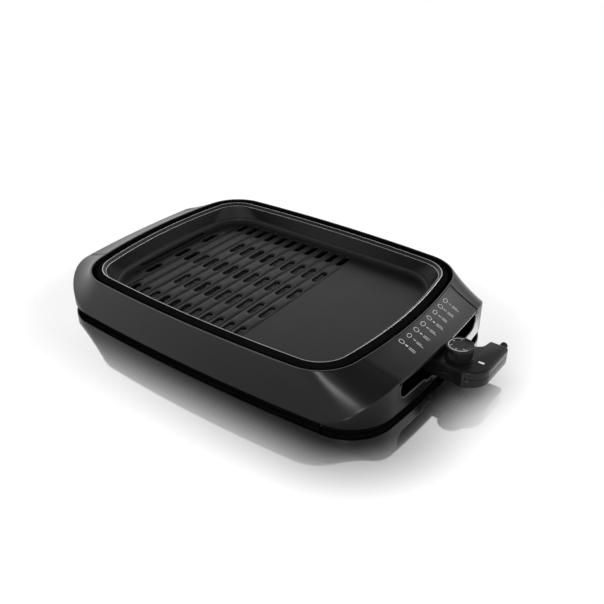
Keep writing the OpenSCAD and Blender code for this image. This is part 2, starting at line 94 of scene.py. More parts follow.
def placed(points: np.ndarray) -> np.ndarray:
    """Moves millimetre points about the body's middle into the frame, in metres.

    Args:
        points: Any array whose last axis is x, y, z in millimetres.

    Returns:
        The same points in metres, shifted along X.
    """
    return (points + np.array([plan_shift(), 0.0, 0.0])) * MM


@dataclass(frozen=True)
class Outline:
    """A rounded rectangle whose four sides bow outwards, seen from above, in millimetres."""

    half_length: float
    half_depth: float
    corner: float
    long_bow: float
    short_bow: float

    def grown(self, by: float) -> Outline:
        """The parallel outline that lies further out by the given distance."""
        return Outline(self.half_length + by, self.half_depth + by, self.corner + by,
                       self.long_bow + by, self.short_bow + by)

    def corner_centre(self) -> tuple[np.ndarray, np.ndarray, np.ndarray]:
        """Centres of the corner arc, the long-side arc and the short-side arc.

        The corner arc touches both side arcs from the inside, so its centre is where two circles
        about the side centres meet, each smaller than the side's radius by the corner's radius.

        Returns:
            The three centres, each as x, y.
        """
        long_c = np.array([0.0, self.half_depth - self.long_bow])
        short_c = np.array([self.half_length - self.short_bow, 0.0])
        reach_long = self.long_bow - self.corner
        reach_short = self.short_bow - self.corner
        gap = short_c - long_c
        distance = np.linalg.norm(gap)
        along = gap / distance
        t = (reach_long**2 - reach_short**2 + distance**2) / (2 * distance)
        side = math.sqrt(reach_long**2 - t * t)
        return long_c + t * along + side * np.array([along[1], -along[0]]), long_c, short_c

    def ring(self, counts: tuple[int, int, int] = (26, 22, 30)) -> np.ndarray:
        """The whole outline as points, counter-clockwise from the end of the X axis.

        Each quarter runs over half a short side, a corner and half a long side as arcs, and the
        other quarters are its mirror images.

        Args:
            counts: Segments on half a short side, a corner and half a long side.

        Returns:
            An array of shape (4 * sum(counts), 2).
        """
        centre, long_c, short_c = self.corner_centre()
        a_short = math.atan2(centre[1] - short_c[1], centre[0] - short_c[0])
        a_long = math.atan2(centre[1] - long_c[1], centre[0] - long_c[0])

        def arc(c: np.ndarray, r: float, a0: float, a1: float, n: int) -> np.ndarray:
            """Points c + r (cos a, sin a) for n steps from a0 to a1, without the last one."""
            a = np.linspace(a0, a1, n, endpoint=False)
            return c + r * np.stack([np.cos(a), np.sin(a)], axis=1)

        quarter = np.concatenate([
            arc(short_c, self.short_bow, 0.0, a_short, counts[0]),
            arc(centre, self.corner, a_short, a_long, counts[1]),
            arc(long_c, self.long_bow, a_long, math.pi / 2, counts[2]),
            [[0.0, self.half_depth]],
        ])
        flip_x, flip_y = np.array([-1.0, 1.0]), np.array([1.0, -1.0])
        return np.concatenate([quarter[:-1], (quarter * flip_x)[:0:-1],
                               -quarter[:-1], (quarter * flip_y)[:0:-1]])

    def half_length_at(self, y: np.ndarray) -> np.ndarray:
        """Distance from the Y axis to the short side's arc at each y."""
        return self.half_length - self.short_bow + np.sqrt(self.short_bow**2 - y**2)


# The body's upright wall and the crest of the plate's bead, which several sub-assemblies follow
WALL = Outline(278.7, 182.5, 67.0, 3113.0, 1349.0)
BEAD = Outline(218.6, 163.0, 45.2, 2198.0, 676.0)


def at_height(plan: np.ndarray, z: float | np.ndarray) -> np.ndarray:
    """Adds a height, or one height per point, to plan points.

    Args:
        plan: Points as x, y.
        z: One height or an array of heights.

    Returns:
        Points as x, y, z.
    """
    heights = np.broadcast_to(np.asarray(z, float).reshape(-1, 1), (len(plan), 1))
    return np.concatenate([plan, heights], axis=1)


def smoothstep(t: np.ndarray) -> np.ndarray:
    """3t^2 - 2t^3 with t held between 0 and 1."""
    u = np.clip(t, 0.0, 1.0)
    return u * u * (3 - 2 * u)


def filleted(rings: Sequence[np.ndarray], radii: Sequence[float], steps: int = 5,
             loop: bool = False) -> np.ndarray:
    """Rounds the corners of a section that is carried round an outline.

    Each corner ring C with neighbours A and B becomes a quadratic curve with ends C + (A - C) r/|A - C|
    and C + (B - C) r/|B - C|, held to half of either side, and C as its middle control point.

    Args:
        rings: Corner points of the section, one ring of points each.
        radii: Rounding distance of each corner in millimetres, 0 to keep it sharp.
        steps: Segments on a rounded corner.
        loop: Whether the section closes on itself.

    Returns:
        An array of shape (rows, points, 3).
    """
    rows: list[np.ndarray] = []
    n = len(rings)
    for k, (ring, radius) in enumerate(zip(rings, radii)):
        inner = loop or 0 < k < n - 1
        if radius <= 0 or not inner:
            rows.append(ring)
            continue
        ends = []
        for other in (rings[k - 1], rings[(k + 1) % n]):
            gap = other - ring
            length = np.linalg.norm(gap, axis=1, keepdims=True)
            ends.append(ring + gap * np.minimum(0.48, radius / np.maximum(length, 1e-6)))
        for t in np.linspace(0.0, 1.0, steps + 1):
            rows.append((1 - t) ** 2 * ends[0] + 2 * t * (1 - t) * ring + t * t * ends[1])
    return np.stack(rows)


# Meshes


@dataclass
class Skin:
    """Collects points and faces of one mesh, in millimetres about the body's middle."""

    points: list[np.ndarray] = field(default_factory=list)
    faces: list[np.ndarray] = field(default_factory=list)
    caps: list[list[int]] = field(default_factory=list)
    count: int = 0

    def add_points(self, points: np.ndarray) -> int:
        """Adds points to the mesh.

        Args:
            points: Any array whose last axis is x, y, z.

        Returns:
            The index of the first one.
        """
        start = self.count
        flat = points.reshape(-1, 3)
        self.points.append(flat)
        self.count += len(flat)
        return start

    def grid(self, points: np.ndarray, closed: tuple[bool, bool] = (False, True),
             flip: bool = False) -> int:
        """Adds a grid of points (rows, columns, 3) with a quad between each four neighbours.

        Args:
            points: The grid.
            closed: Whether the rows and the columns wrap round.
            flip: Whether the faces turn the other way.

        Returns:
            The index of the grid's first point.
        """
        rows, columns = points.shape[:2]
        start = self.add_points(points)
        index = start + np.arange(rows * columns).reshape(rows, columns)
        if closed[0]:
            index = np.concatenate([index, index[:1]], axis=0)
        if closed[1]:
            index = np.concatenate([index, index[:, :1]], axis=1)
        corners = [index[:-1, :-1], index[:-1, 1:], index[1:, 1:], index[1:, :-1]]
        quads = np.stack(corners[::-1] if flip else corners, axis=-1).reshape(-1, 4)
        self.faces.append(quads)
        return start

    def cap(self, start: int, count: int, flip: bool = False) -> None:
        """Closes a ring of count points that begins at start with one face."""
        loop = list(range(start, start + count))
        self.caps.append(loop[::-1] if flip else loop)

    def tube(self, rings: np.ndarray, flip: bool = False) -> None:
        """Adds stacked rings with a flat cap at each end."""
        rows, columns = rings.shape[:2]
        start = self.grid(rings, flip=flip)
        self.cap(start, columns, flip=not flip)
        self.cap(start + (rows - 1) * columns, columns, flip=flip)

    def mesh(self, name: str) -> bpy.types.Mesh:
        """Builds the mesh in the frame's metres.

        Args:
            name: The mesh's name.

        Returns:
            The new mesh.
        """
        data = bpy.data.meshes.new(name)
        quads = np.concatenate(self.faces).tolist() if self.faces else []
        data.from_pydata(placed(np.concatenate(self.points)).tolist(), [], quads + self.caps)
        data.validate()
        return data

    def thing(self, name: str) -> bpy.types.Object:
        """The mesh as a new object of the same name."""
        return new_object(name, self.mesh(name))

    def piece(self, name: str, body: Body, material: bpy.types.Material, slot: str,
              replaced: Sequence[str] = ()) -> bpy.types.Object:
        """The mesh as a finished piece; the arguments are those of finished."""
        return finished(self.thing(name), body, material, replaced)


def new_object(name: str, data: bpy.types.ID) -> bpy.types.Object:
    """Puts a mesh, curve, camera or lamp into the scene as an object at the origin.

    Args:
        name: The object's name.
        data: What it shows.

    Returns:
        The new object.
    """
    thing = bpy.data.objects.new(name, data)
    bpy.context.scene.collection.objects.link(thing)
    return thing


def evaluated_mesh(thing: bpy.types.Object) -> bpy.types.Mesh:
    """A new mesh of the thing as its modifiers or its curve make it."""
    bpy.context.view_layer.update()
    return bpy.data.meshes.new_from_object(thing.evaluated_get(bpy.context.evaluated_depsgraph_get()))


def cut(thing: bpy.types.Object, cutters: Sequence[bpy.types.Object]) -> None:
    """Takes each cutter's solid out of a thing and removes the cutters.

    Args:
        thing: The object to cut.
        cutters: Closed objects.
    """
    for cutter in cutters:
        step = thing.modifiers.new("cut", "BOOLEAN")
        step.operation = "DIFFERENCE"
        step.solver = "MANIFOLD"
        step.object = cutter
    shaped = evaluated_mesh(thing)
    thing.modifiers.clear()
    thing.data = shaped
    for cutter in cutters:
        bpy.data.objects.remove(cutter)


def weld(thing: bpy.types.Object, reach: float = 1e-6) -> None:
    """Joins points that lie together, so patches that share an edge become one closed skin.

    Args:
        thing: The object whose mesh is welded.
        reach: Points closer than this many metres are joined.
    """
    shape = bmesh.new()
    shape.from_mesh(thing.data)
    bmesh.ops.remove_doubles(shape, verts=shape.verts, dist=reach)
    bmesh.ops.recalc_face_normals(shape, faces=shape.faces)
    shape.to_mesh(thing.data)
    shape.free()


def finished(thing: bpy.types.Object, body: Body, material: bpy.types.Material,
             replaced: Sequence[str] = (), crease: float = 32.0) -> bpy.types.Object:
    """Smooths, dresses and binds a piece.

    Args:
        thing: The piece.
        body: The body that carries it.
        material: Its finish.
        replaced: The nodes that it stands for.
        crease: Edges sharper than this many degrees stay sharp.

    Returns:
        The piece.
    """
    data = thing.data
    data.polygons.foreach_set("use_smooth", np.ones(len(data.polygons), bool))
    data.set_sharp_from_angle(angle=math.radians(crease))
    data.materials.clear()
    data.materials.append(material)
    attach(thing, body.value)
    if replaced:
        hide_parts(*replaced)
    LOG.info("%s: %d faces", thing.name, len(data.polygons))
    return thing


# Finishes


def linear(code: str) -> tuple[float, float, float, float]:
    """Turns an sRGB hex colour into linear values with full alpha.

    Args:
        code: Six hex digits.

    Returns:
        Red, green, blue and alpha.
    """
    raw = [int(code[i:i + 2], 16) / 255 for i in (0, 2, 4)]
    red, green, blue = [c / 12.92 if c <= 0.04045 else ((c + 0.055) / 1.055) ** 2.4 for c in raw]
    return red, green, blue, 1.0


def add_node(tree: bpy.types.NodeTree, kind: str, settings: dict | None = None,
             links: dict | None = None) -> bpy.types.Node:
    """Adds a node with its settings and links.

    Args:
        tree: The node tree.
        kind: The node's type name.
        settings: Attributes by name, or input values by "in:" and the input's name or number.
        links: Output sockets by the name or number of the input that they feed.

    Returns:
        The new node.
    """
    node = tree.nodes.new(kind)
    for key, value in (settings or {}).items():
        if key.startswith("in:"):
            name = key[3:]
            node.inputs[int(name) if name.isdigit() else name].default_value = value
        else:
            setattr(node, key, value)
    for key, socket in (links or {}).items():
        tree.links.new(socket, node.inputs[key])
    return node


@dataclass(frozen=True)
class Finish:
    """A surface finish: what the material is, its colours and how its fine pattern looks."""

    name: str
    colour: str
    shade: str
    roughness: float
    metallic: float = 0.0
    ior: float = 1.5
    specular: float = 0.22
    pattern: Pattern = Pattern.GRAIN
    grain_mm: float = 0.8
    bump_mm: float = 0.01
    rough_spread: float = 0.06
    brush_axis: int = 0
    coat: float = 0.0
    coat_rough: float = 0.1

    def material(self) -> bpy.types.Material:
        """Makes the node material: a slow noise tints and dulls it, a fine one gives its grain.

        Returns:
            The material.
        """
        made = bpy.data.materials.new(self.name)
        made.use_nodes = True
        tree = made.node_tree
        tree.nodes.clear()
        where = add_node(tree, "ShaderNodeTexCoord").outputs["Object"]
        slow = add_node(tree, "ShaderNodeTexNoise", {"in:Scale": 1 / (45 * MM), "in:Detail": 3.0},
                        {"Vector": where})
        stretch = [1.0, 1.0, 1.0]
        if self.pattern is Pattern.BRUSHED:
            stretch[self.brush_axis] = 0.03
        fine_at = add_node(tree, "ShaderNodeMapping", {"in:Scale": stretch}, {"Vector": where})
        fine = add_node(tree, "ShaderNodeTexNoise",
                        {"in:Scale": 1 / (self.grain_mm * MM), "in:Detail": 2.0},
                        {"Vector": fine_at.outputs[0]})
        tint = fine.outputs["Fac"] if self.pattern is Pattern.SPECKLE else slow.outputs["Fac"]
        ramp = add_node(tree, "ShaderNodeValToRGB", {}, {"Fac": tint})
        ramp.color_ramp.elements[0].position = 0.38
        ramp.color_ramp.elements[1].position = 0.66
        ramp.color_ramp.elements[0].color = linear(self.shade)
        ramp.color_ramp.elements[1].color = linear(self.colour)
        rough = add_node(tree, "ShaderNodeMapRange",
                         {"in:To Min": max(0.02, self.roughness - self.rough_spread),
                          "in:To Max": min(1.0, self.roughness + self.rough_spread)},
                         {"Value": slow.outputs["Fac"]})
        shader = add_node(tree, "ShaderNodeBsdfPrincipled",
                          {"in:Metallic": self.metallic, "in:IOR": self.ior,
                           "in:Specular IOR Level": self.specular, "in:Coat Weight": self.coat,
                           "in:Coat Roughness": self.coat_rough},
                          {"Base Color": ramp.outputs["Color"], "Roughness": rough.outputs["Result"]})
        if self.pattern is not Pattern.NONE:
            bump = add_node(tree, "ShaderNodeBump", {"in:Strength": 1.0, "in:Distance": self.bump_mm * MM},
                            {"Height": fine.outputs["Fac"]})
            tree.links.new(bump.outputs["Normal"], shader.inputs["Normal"])
        add_node(tree, "ShaderNodeOutputMaterial", {}, {"Surface": shader.outputs["BSDF"]})
        return made


class Finishes:
    """All finishes of the grill, each made once."""

    def __init__(self) -> None:
        """Makes the materials."""
        # Moulded ABS with a satin polish: dark, with broad soft reflections and a faint grain
        self.body = Finish("satin moulded ABS", "0e0e0f", "0c0c0d", 0.25, grain_mm=1.2,
                           bump_mm=0.006).material()
        # Edges of the mouldings: a slightly lighter, glossier colour on thin tubes that paints the edges'
        # highlight line, a painted highlight
        self.edge = Finish("moulding edge painted highlight", "3c3c3d", "383839", 0.3, specular=0.5,
                           bump_mm=0.002).material()
        # The covers are the same plastic with a finer polish
        self.cover = Finish("polished ABS cover", "1a1a1b", "171718", 0.3, grain_mm=1.0,
                            bump_mm=0.005).material()
        # Glass-filled nylon: dull black with a moulded texture, its reflection turned off so the band below
        # the body reads black like the shade there, partly painted shade; on the strips in the covers' slits
        # it is painted shade only
        self.base = Finish("black nylon and painted shade", "0a0a0a", "070707", 0.7, specular=0.0, grain_mm=0.9,
                           bump_mm=0.05).material()
        # Sprayed non-stick coating on cast aluminium: dark grey, slightly glossy, with fine specks
        self.plate = Finish("sprayed non-stick coating", "131314", "0c0c0d", 0.34, specular=0.27,
                            pattern=Pattern.SPECKLE, grain_mm=0.7, bump_mm=0.02,
                            rough_spread=0.05).material()
        # The bead's crest, where the coating is turned off and the aluminium shows, and the step inside it,
        # whose bright strip is a painted highlight of its rounded edge
        self.bead = Finish("turned aluminium and painted step highlight", "dcdcde", "cfcfd1", 0.34, metallic=1.0, grain_mm=0.6,
                           bump_mm=0.004).material()
        # The flange is black and dull, without reflection: painted shade of the gap between plate and body,
        # so the plate seems to float inside the body
        self.flange = Finish("flange painted shade black", "0e0e0e", "0b0b0b", 0.6,
                             specular=0.0).material()
        # Soft feet and gland: dull and slightly open-grained
        self.rubber = Finish("moulded rubber", "161616", "101010", 0.75, grain_mm=0.8,
                             bump_mm=0.04).material()
        # Rolled steel sheet: bright with lines along the rolling direction
        self.sheet = Finish("rolled steel sheet", "a8a8a8", "8f8f90", 0.36, metallic=1.0,
                            pattern=Pattern.BRUSHED, grain_mm=0.6, bump_mm=0.01).material()
        # Phosphated sheet behind the plug: dull dark grey
        self.guard = Finish("phosphated steel", "3a3a3c", "303032", 0.5, metallic=1.0,
                            pattern=Pattern.BRUSHED, brush_axis=1, grain_mm=0.6, bump_mm=0.01).material()
        # Screws and shaft: thin bright plating with a warm cast
        self.zinc = Finish("zinc plated steel", "b9b7b0", "a29f98", 0.3, metallic=1.0,
                           grain_mm=0.5).material()
        # Steel sheath of the heating tube, browned by heat
        self.sheath = Finish("heat browned steel tube", "5d4f45", "3c3531", 0.42, metallic=0.8,
                             grain_mm=3.0, bump_mm=0.02, rough_spread=0.1).material()
        # Contact pins and sensor rod: smooth and almost mirror bright
        self.nickel = Finish("nickel plate", "c9c4ba", "b5b0a6", 0.2, metallic=1.0, grain_mm=0.5,
                             bump_mm=0.003).material()
        # Sockets and bush: yellow, with the lathe's fine lines
        self.brass = Finish("turned brass", "c7a052", "ad8740", 0.28, metallic=1.0, pattern=Pattern.BRUSHED,
                            grain_mm=0.3, bump_mm=0.005).material()
        # Terminal block: off-white and chalky
        self.ceramic = Finish("unglazed steatite", "d8d1c2", "c9c1b0", 0.7, grain_mm=0.6,
                              bump_mm=0.03).material()
        # Thermostat's block: brown, with a dull gloss
        self.phenolic = Finish("moulded phenolic", "8d6d42", "7a5c36", 0.45, grain_mm=0.7).material()
        # Grey enamel on the drip tray
        self.enamel = Finish("grey enamelled steel", "77777a", "6a6a6d", 0.3, grain_mm=2.0, bump_mm=0.02,
                             coat=0.3).material()
        # Plug and knob: fine matt plastic
        self.plug = Finish("fine matt nylon", "101011", "0c0c0d", 0.34, grain_mm=0.6,
                           bump_mm=0.02).material()
        self.knob = Finish("fine matt knob plastic", "101011", "0c0c0d", 0.3, grain_mm=0.5,
                           bump_mm=0.01).material()
        # Pad-printed ink on covers and dial: flat and slightly raised
        self.ink = Finish("white printing ink", "dadada", "cfcfcf", 0.5, grain_mm=0.4,
                          bump_mm=0.002).material()
        # Pilot lamp's window: clear and glossy
        self.lens = Finish("clear red polycarbonate", "d8d2cf", "c8c0bd", 0.15, grain_mm=0.5,
                           bump_mm=0.001, coat=0.6).material()


# Sub-assemblies


@dataclass
class BodyShell:
    """The moulded body: flared ends over an upright wall, with a lip round the cooking plate."""

    finishes: Finishes
    wall: Outline = WALL
    bead: Outline = BEAD
    lip_out: float = 17.5
    lip_in: float = 15.5
    lip_z: float = 73.4
    lip_edge: float = 0.95
    lip_edge_in: tuple[float, float] = (1.0, 0.75)
    lip_deep: float = 16.0
    skirt_z: float = 8.0
    crease_z: float = 54.6
    crease_least: float = 1.0
    climb_from: tuple[float, float] = (190.0, 178.0)
    climb_run: float = 158.0
    thickness: float = 3.0
    inner_drop: float = 5.2
    sag: float = 0.25
    cover_t: float = 2.4
    cover_fit: float = 1.5
    cover_half: tuple[float, float] = (110.8, 102.4)
    cover_low: float = 50.0
    opening_half: float = 101.5
    opening_z: float = 25.0
    opening_corner: float = 14.0
    notch_half: float = 43.0
    guard_half: float = 26.0
    guard_z: float = 20.0
    notch_top: float = 40.0
    window_run: tuple[float, float] = (7.0, 12.0)
    pocket_over: tuple[float, float] = (12.0, 7.0)
    rim_r: float = 0.9
    rim_sink: float = 0.55
    # Place of the black strips that paint the shade in the slits beside the covers
    gap_shade_margin: float = 0.15
    gap_shade_drop: tuple[float, float] = (0.35, 2.2)

    def crease(self, plan: np.ndarray) -> np.ndarray:
        """Height of the crease, which climbs from the lower edge round each corner.

        The path is measured as |x| - x0 + y0 - |y|, and the height is a smoothstep of path / run.

        Args:
            plan: Points of the outline as x, y.

        Returns:
            One height per point.
        """
        path = np.abs(plan[:, 0]) - self.climb_from[0] + self.climb_from[1] - np.abs(plan[:, 1])
        least = self.skirt_z + self.crease_least
        return least + (self.crease_z - least) * smoothstep(path / self.climb_run)

    def flare(self, t: float, inset: float, drop: float) -> np.ndarray:
        """A ring of the flare between the lip (t = 0) and the crease (t = 1).

        The plan point is a straight mix of the lip's and the wall's outline, and the height falls as
        t + sag t (1 - t), which makes the section slightly hollow.

        Args:
            t: Share of the way from lip to crease.
            inset: How far the wall's outline is drawn in.
            drop: How far the surface is lowered.

        Returns:
            The ring's points.
        """
        lip = self.bead.grown(self.lip_out).ring()
        out = self.wall.grown(-inset).ring()
        z = self.lip_z + (self.crease(self.wall.ring()) - self.lip_z) * (t + self.sag * t * (1 - t))
        return at_height(lip + (out - lip) * t, np.maximum(self.skirt_z + 0.4, z - drop))

    def surface(self) -> Skin:
        """The closed shell: one section with rounded lip, crease and lower edge, carried round the body."""
        lip = self.bead
        rings = [
            at_height(lip.grown(self.lip_in).ring(), self.lip_z - self.lip_deep),
            at_height(lip.grown(self.lip_in).ring(), self.lip_z),
            self.flare(0.0, 0, 0),
            *[self.flare(t, 0, 0) for t in np.linspace(0.07, 0.93, 12)],
            self.flare(1.0, 0, 0),
            at_height(self.wall.ring(), self.skirt_z),
            at_height(self.wall.grown(-self.thickness).ring(), self.skirt_z),
            self.flare(1.0, self.thickness, self.inner_drop),
            self.flare(0.5, 2 * self.thickness, self.inner_drop),
            self.flare(0.15, 3 * self.thickness, self.inner_drop + 1.0),
            at_height(lip.grown(self.lip_in + 2.0).ring(), self.lip_z - 5.6),
            at_height(lip.grown(self.lip_in + 2.0).ring(), self.lip_z - self.lip_deep),
        ]
        radii = [0.5, 1.2, 1.6] + [0.0] * 12 + [1.6, 0.9, 0.6, 1.0, 0, 0, 0.8, 0.5]
        skin = Skin()
        skin.grid(filleted(rings, radii, loop=True), closed=(True, True), flip=True)
        return skin

    def end_point(self, t: np.ndarray, v: np.ndarray, wide: float, up: float) -> np.ndarray:
        """Points of the end flare, t between lip and crease and v between the two ends of a handle cover.

        Args:
            t: Share of the way from lip to crease.
            v: Place along the cover, -1 to 1.
            wide: How much wider than the cover.
            up: How far above the flare.

        Returns:
            The points.
        """
        y = v * (self.cover_half[0] + (self.cover_half[1] - self.cover_half[0]) * t + wide)
        x_lip = self.bead.grown(self.lip_out).half_length_at(y)
        x = x_lip + (self.wall.half_length_at(y) - x_lip) * t
        z = self.lip_z + (self.crease_z - self.lip_z) * (t + self.sag * t * (1 - t)) + up
        return np.stack([x, y, z], axis=-1)

    def cover_sections(self, v: np.ndarray, wide: float, up: float, out: float,
                       depth: float) -> list[np.ndarray]:
        """Corner rows of a handle cover's section, each a row of points along the cover.

        The section runs out over the flare, down in front of the wall and back underneath.

        Args:
            v: Places along the cover.
            wide: How much wider than the cover.
            up: How far the upper side lies above the flare.
            out: How far the front lies outside the wall.
            depth: How far the lower side lies below the flare.

        Returns:
            The rows in order.
        """
        ts = np.linspace(0.0, 0.94, 10)
        edge = self.end_point(np.ones_like(v), v, wide, 0.0)
        low = self.cover_low - wide
        rows = [self.end_point(np.full_like(v, t), v, wide, up) for t in ts]
        rows.append(edge + [out, 0, up])
        rows.append(np.stack([edge[:, 0] + out, edge[:, 1], np.full_like(v, low)], axis=-1))
        rows.append(np.stack([edge[:, 0] - depth, edge[:, 1], np.full_like(v, low)], axis=-1))
        rows.append(edge + [-depth, 0, -depth])
        rows += [self.end_point(np.full_like(v, t), v, wide, -depth) for t in ts[::-1]]
        return rows

    def pocket(self, side: float) -> bpy.types.Object:
        """The solid that makes room for a handle cover.

        Args:
            side: 1 for the right end, -1 for the left.

        Returns:
            A closed object.
        """
        v = np.linspace(-1, 1, 41)
        rows = self.cover_sections(v, self.cover_fit, *self.pocket_over, self.cover_t + 0.1)
        return self.closed_strip("pocket", np.stack(rows), side)

    def closed_strip(self, name: str, rows: np.ndarray, side: float) -> bpy.types.Object:
        """Makes a closed object from section rows, capped at both ends with quads across the section.

        Args:
            name: The object's name.
            rows: Section rows (corners, places, 3); the second half runs back below the first.
            side: 1 for the right end, -1 for the left.

        Returns:
            The closed object.
        """
        rings = np.swapaxes(rows, 0, 1) * np.array([side, 1.0, 1.0])
        skin = Skin()
        count = rings.shape[1]
        start = skin.grid(rings, flip=side < 0)
        last = start + (rings.shape[0] - 1) * count
        for k in range(count // 2 - 1):
            below = count - 1 - k
            faces = [
                [start + k, start + below, start + below - 1, start + k + 1],
                [last + k, last + k + 1, last + below - 1, last + below],
            ]
            skin.caps += [face[::-1] for face in faces] if side < 0 else faces
        return skin.thing(name)

    def window(self, side: float, plan: Sequence[tuple[float, float]], corner: float) -> bpy.types.Object:
        """A prism along X through the end wall.

        Args:
            side: 1 for the right end, -1 for the left.
            plan: Corners as y, z.
            corner: Rounding of the corners.

        Returns:
            A closed object.
        """
        face = rounded_polygon(plan, [corner] * len(plan), 8)
        inwards, outwards = self.window_run
        depth = np.array([self.wall.half_length - inwards, self.wall.half_length + outwards]) * side
        rings = np.stack([np.column_stack([np.full(len(face), x), face]) for x in depth])
        skin = Skin()
        skin.tube(rings, flip=side < 0)
        return skin.thing("window")

    def cutters(self) -> list[bpy.types.Object]:
        """Solids of both cover pockets, both end openings and the stepped notch for the plug."""
        openings = (
            (self.opening_half, self.opening_z, self.cover_low + 2),
            (self.notch_half, self.guard_z, self.notch_top),
            (self.guard_half, 0.0, self.notch_top),
        )
        opening, notch, guard = [[(-w, z0), (w, z0), (w, z1), (-w, z1)] for w, z0, z1 in openings]
        tools = [self.pocket(side) for side in (1.0, -1.0)]
        tools += [self.window(side, opening, self.opening_corner) for side in (1.0, -1.0)]
        tools += [self.window(1.0, notch, 3.0), self.window(1.0, guard, 1.0)]
        return tools

    def rim(self, side: float, plan: Sequence[tuple[float, float]],
            radii: Sequence[float]) -> np.ndarray:
        """Rings of a thin rounded bead that follows an opening's edge on the end wall.

        Args:
            side: 1 for the right end, -1 for the left.
            plan: The edge's corners as y, z.
            radii: Rounding of each corner.

        Returns:
            Rings across the path, for a tube.
        """
        path = rounded_polyline(plan, radii, 6)
        x = self.wall.half_length_at(path[:, 0])
        along = np.gradient(path, axis=0)
        along /= np.linalg.norm(along, axis=1, keepdims=True)
        across = np.stack([-along[:, 1], along[:, 0]], axis=1)
        a = np.linspace(0, 2 * math.pi, 12, endpoint=False)
        y = path[:, None, 0] + self.rim_r * np.cos(a) * across[:, None, 0]
        z = path[:, None, 1] + self.rim_r * np.cos(a) * across[:, None, 1]
        out = side * (x[:, None] - self.rim_sink + self.rim_r * np.sin(a))
        return np.stack([out, y, z], axis=-1)

    def rims(self) -> Skin:
        """The beads round both end openings; the right one steps down to the plug's notch."""
        o, n, low, mid = self.opening_half, self.notch_half, self.opening_z, self.guard_z
        start, corner = self.cover_low - 2, self.opening_corner
        stepped = [(-o, start), (-o, low), (-n, low), (-n, mid), (-self.guard_half, mid)]
        plain = [(-o, start), (-o, low), (o, low), (o, start)]
        skin = Skin()
        skin.tube(self.rim(1.0, stepped, [0, corner, 2, 2, 0]))
        skin.tube(self.rim(1.0, [(-y, z) for y, z in stepped], [0, corner, 2, 2, 0]), flip=True)
        skin.tube(self.rim(-1.0, plain, [0, corner, corner, 0]), flip=True)
        return skin

    def lip_line(self) -> Skin:
        """A thin round line on the lip's outer edge, carried round the well, which carries the lip's painted
        highlight.
        """
        inwards, down = self.lip_edge_in
        rings = []
        for a in np.linspace(0, 2 * math.pi, 10, endpoint=False):
            plan = self.bead.grown(self.lip_out - inwards + self.lip_edge * math.cos(a)).ring()
            rings.append(at_height(plan, self.lip_z - down + self.lip_edge * math.sin(a)))
        skin = Skin()
        skin.grid(np.stack(rings), closed=(True, True))
        return skin

    def build(self) -> None:
        """Builds the shell, cuts its openings and adds the light lines of its edges, thin tubes whose
        lighter colour is a painted highlight.
        """
        shell = self.surface().thing("body_shell_skin")
        cut(shell, self.cutters())
        finished(shell, Body.HOUSING, self.finishes.body, ["body_shell"])
        # The opening rims and the lip line are painted highlights: lighter tubes along the edges
        self.rims().piece("opening_rims", Body.HOUSING, self.finishes.edge, "body_black")
        self.lip_line().piece("lip_edge", Body.HOUSING, self.finishes.edge, "body_black")

    def build_gap_shade_strips(self) -> None:
        """Fills the slits beside the covers' ends with thin black strips set just below the surface, as
        painted shade of the slits.
        """
        t = np.linspace(0.0, 0.97, 24)
        near, far = self.gap_shade_margin, self.cover_fit - self.gap_shade_margin
        high, low = self.gap_shade_drop
        corners = [(near, -high), (far, -high), (far, -low), (near, -low)]
        skin = Skin()
        for side, end in ((1.0, 1.0), (1.0, -1.0), (-1.0, 1.0), (-1.0, -1.0)):
            v = np.full_like(t, end)
            rings = np.stack([self.end_point(t, v, wide, up) for wide, up in corners], axis=1)
            skin.tube(rings * np.array([side, 1.0, 1.0]), flip=side * end > 0)
        skin.piece("cover_gap_shade_strips", Body.HOUSING, self.finishes.base, "base_black")

    def build_cover(self, side: float, node: str) -> None:
        """Builds a handle cover with rounded edges.

        Near its two ends the upper side sinks along a quarter circle, which rounds the end edges.

        Args:
            side: 1 for the right end, -1 for the left.
            node: The node it replaces.
        """
        edge = 1.1
        width = self.cover_half[0]
        turn = np.linspace(0, math.pi / 2, 6)
        near = -1 + edge / width * (1 - np.sin(turn[::-1]))[::-1]
        middle = np.linspace(-1 + 2 * edge / width, 1 - 2 * edge / width, 60)
        v = np.concatenate([near, middle, -near[::-1]])
        inside = np.maximum(0.0, edge - (1 - np.abs(v)) * width)
        sink = edge - np.sqrt(np.maximum(0.0, edge**2 - inside**2))
        rows = self.cover_sections(v, 0.0, 0.0, 0.0, self.cover_t)
        top = len(rows) // 2 - 1
        for k in range(top):
            rows[k] = rows[k] - sink[:, None] * np.array([0.0, 0.0, 1.0])
        for k in (top - 1, top):
            rows[k] = rows[k] - sink[:, None] * np.array([1.0, 0.0, 0.0])
        radii = [1.0] + [0.0] * (top - 2) + [2.2, 0.9, 0.6] + [0.0] * top
        rings = np.swapaxes(filleted(rows, radii, loop=True), 0, 1)
        skin = Skin()
        skin.tube(rings * np.array([side, 1.0, 1.0]), flip=side < 0)
        skin.piece(node + "_skin", Body.HOUSING, self.finishes.cover, "cover_grey", [node])


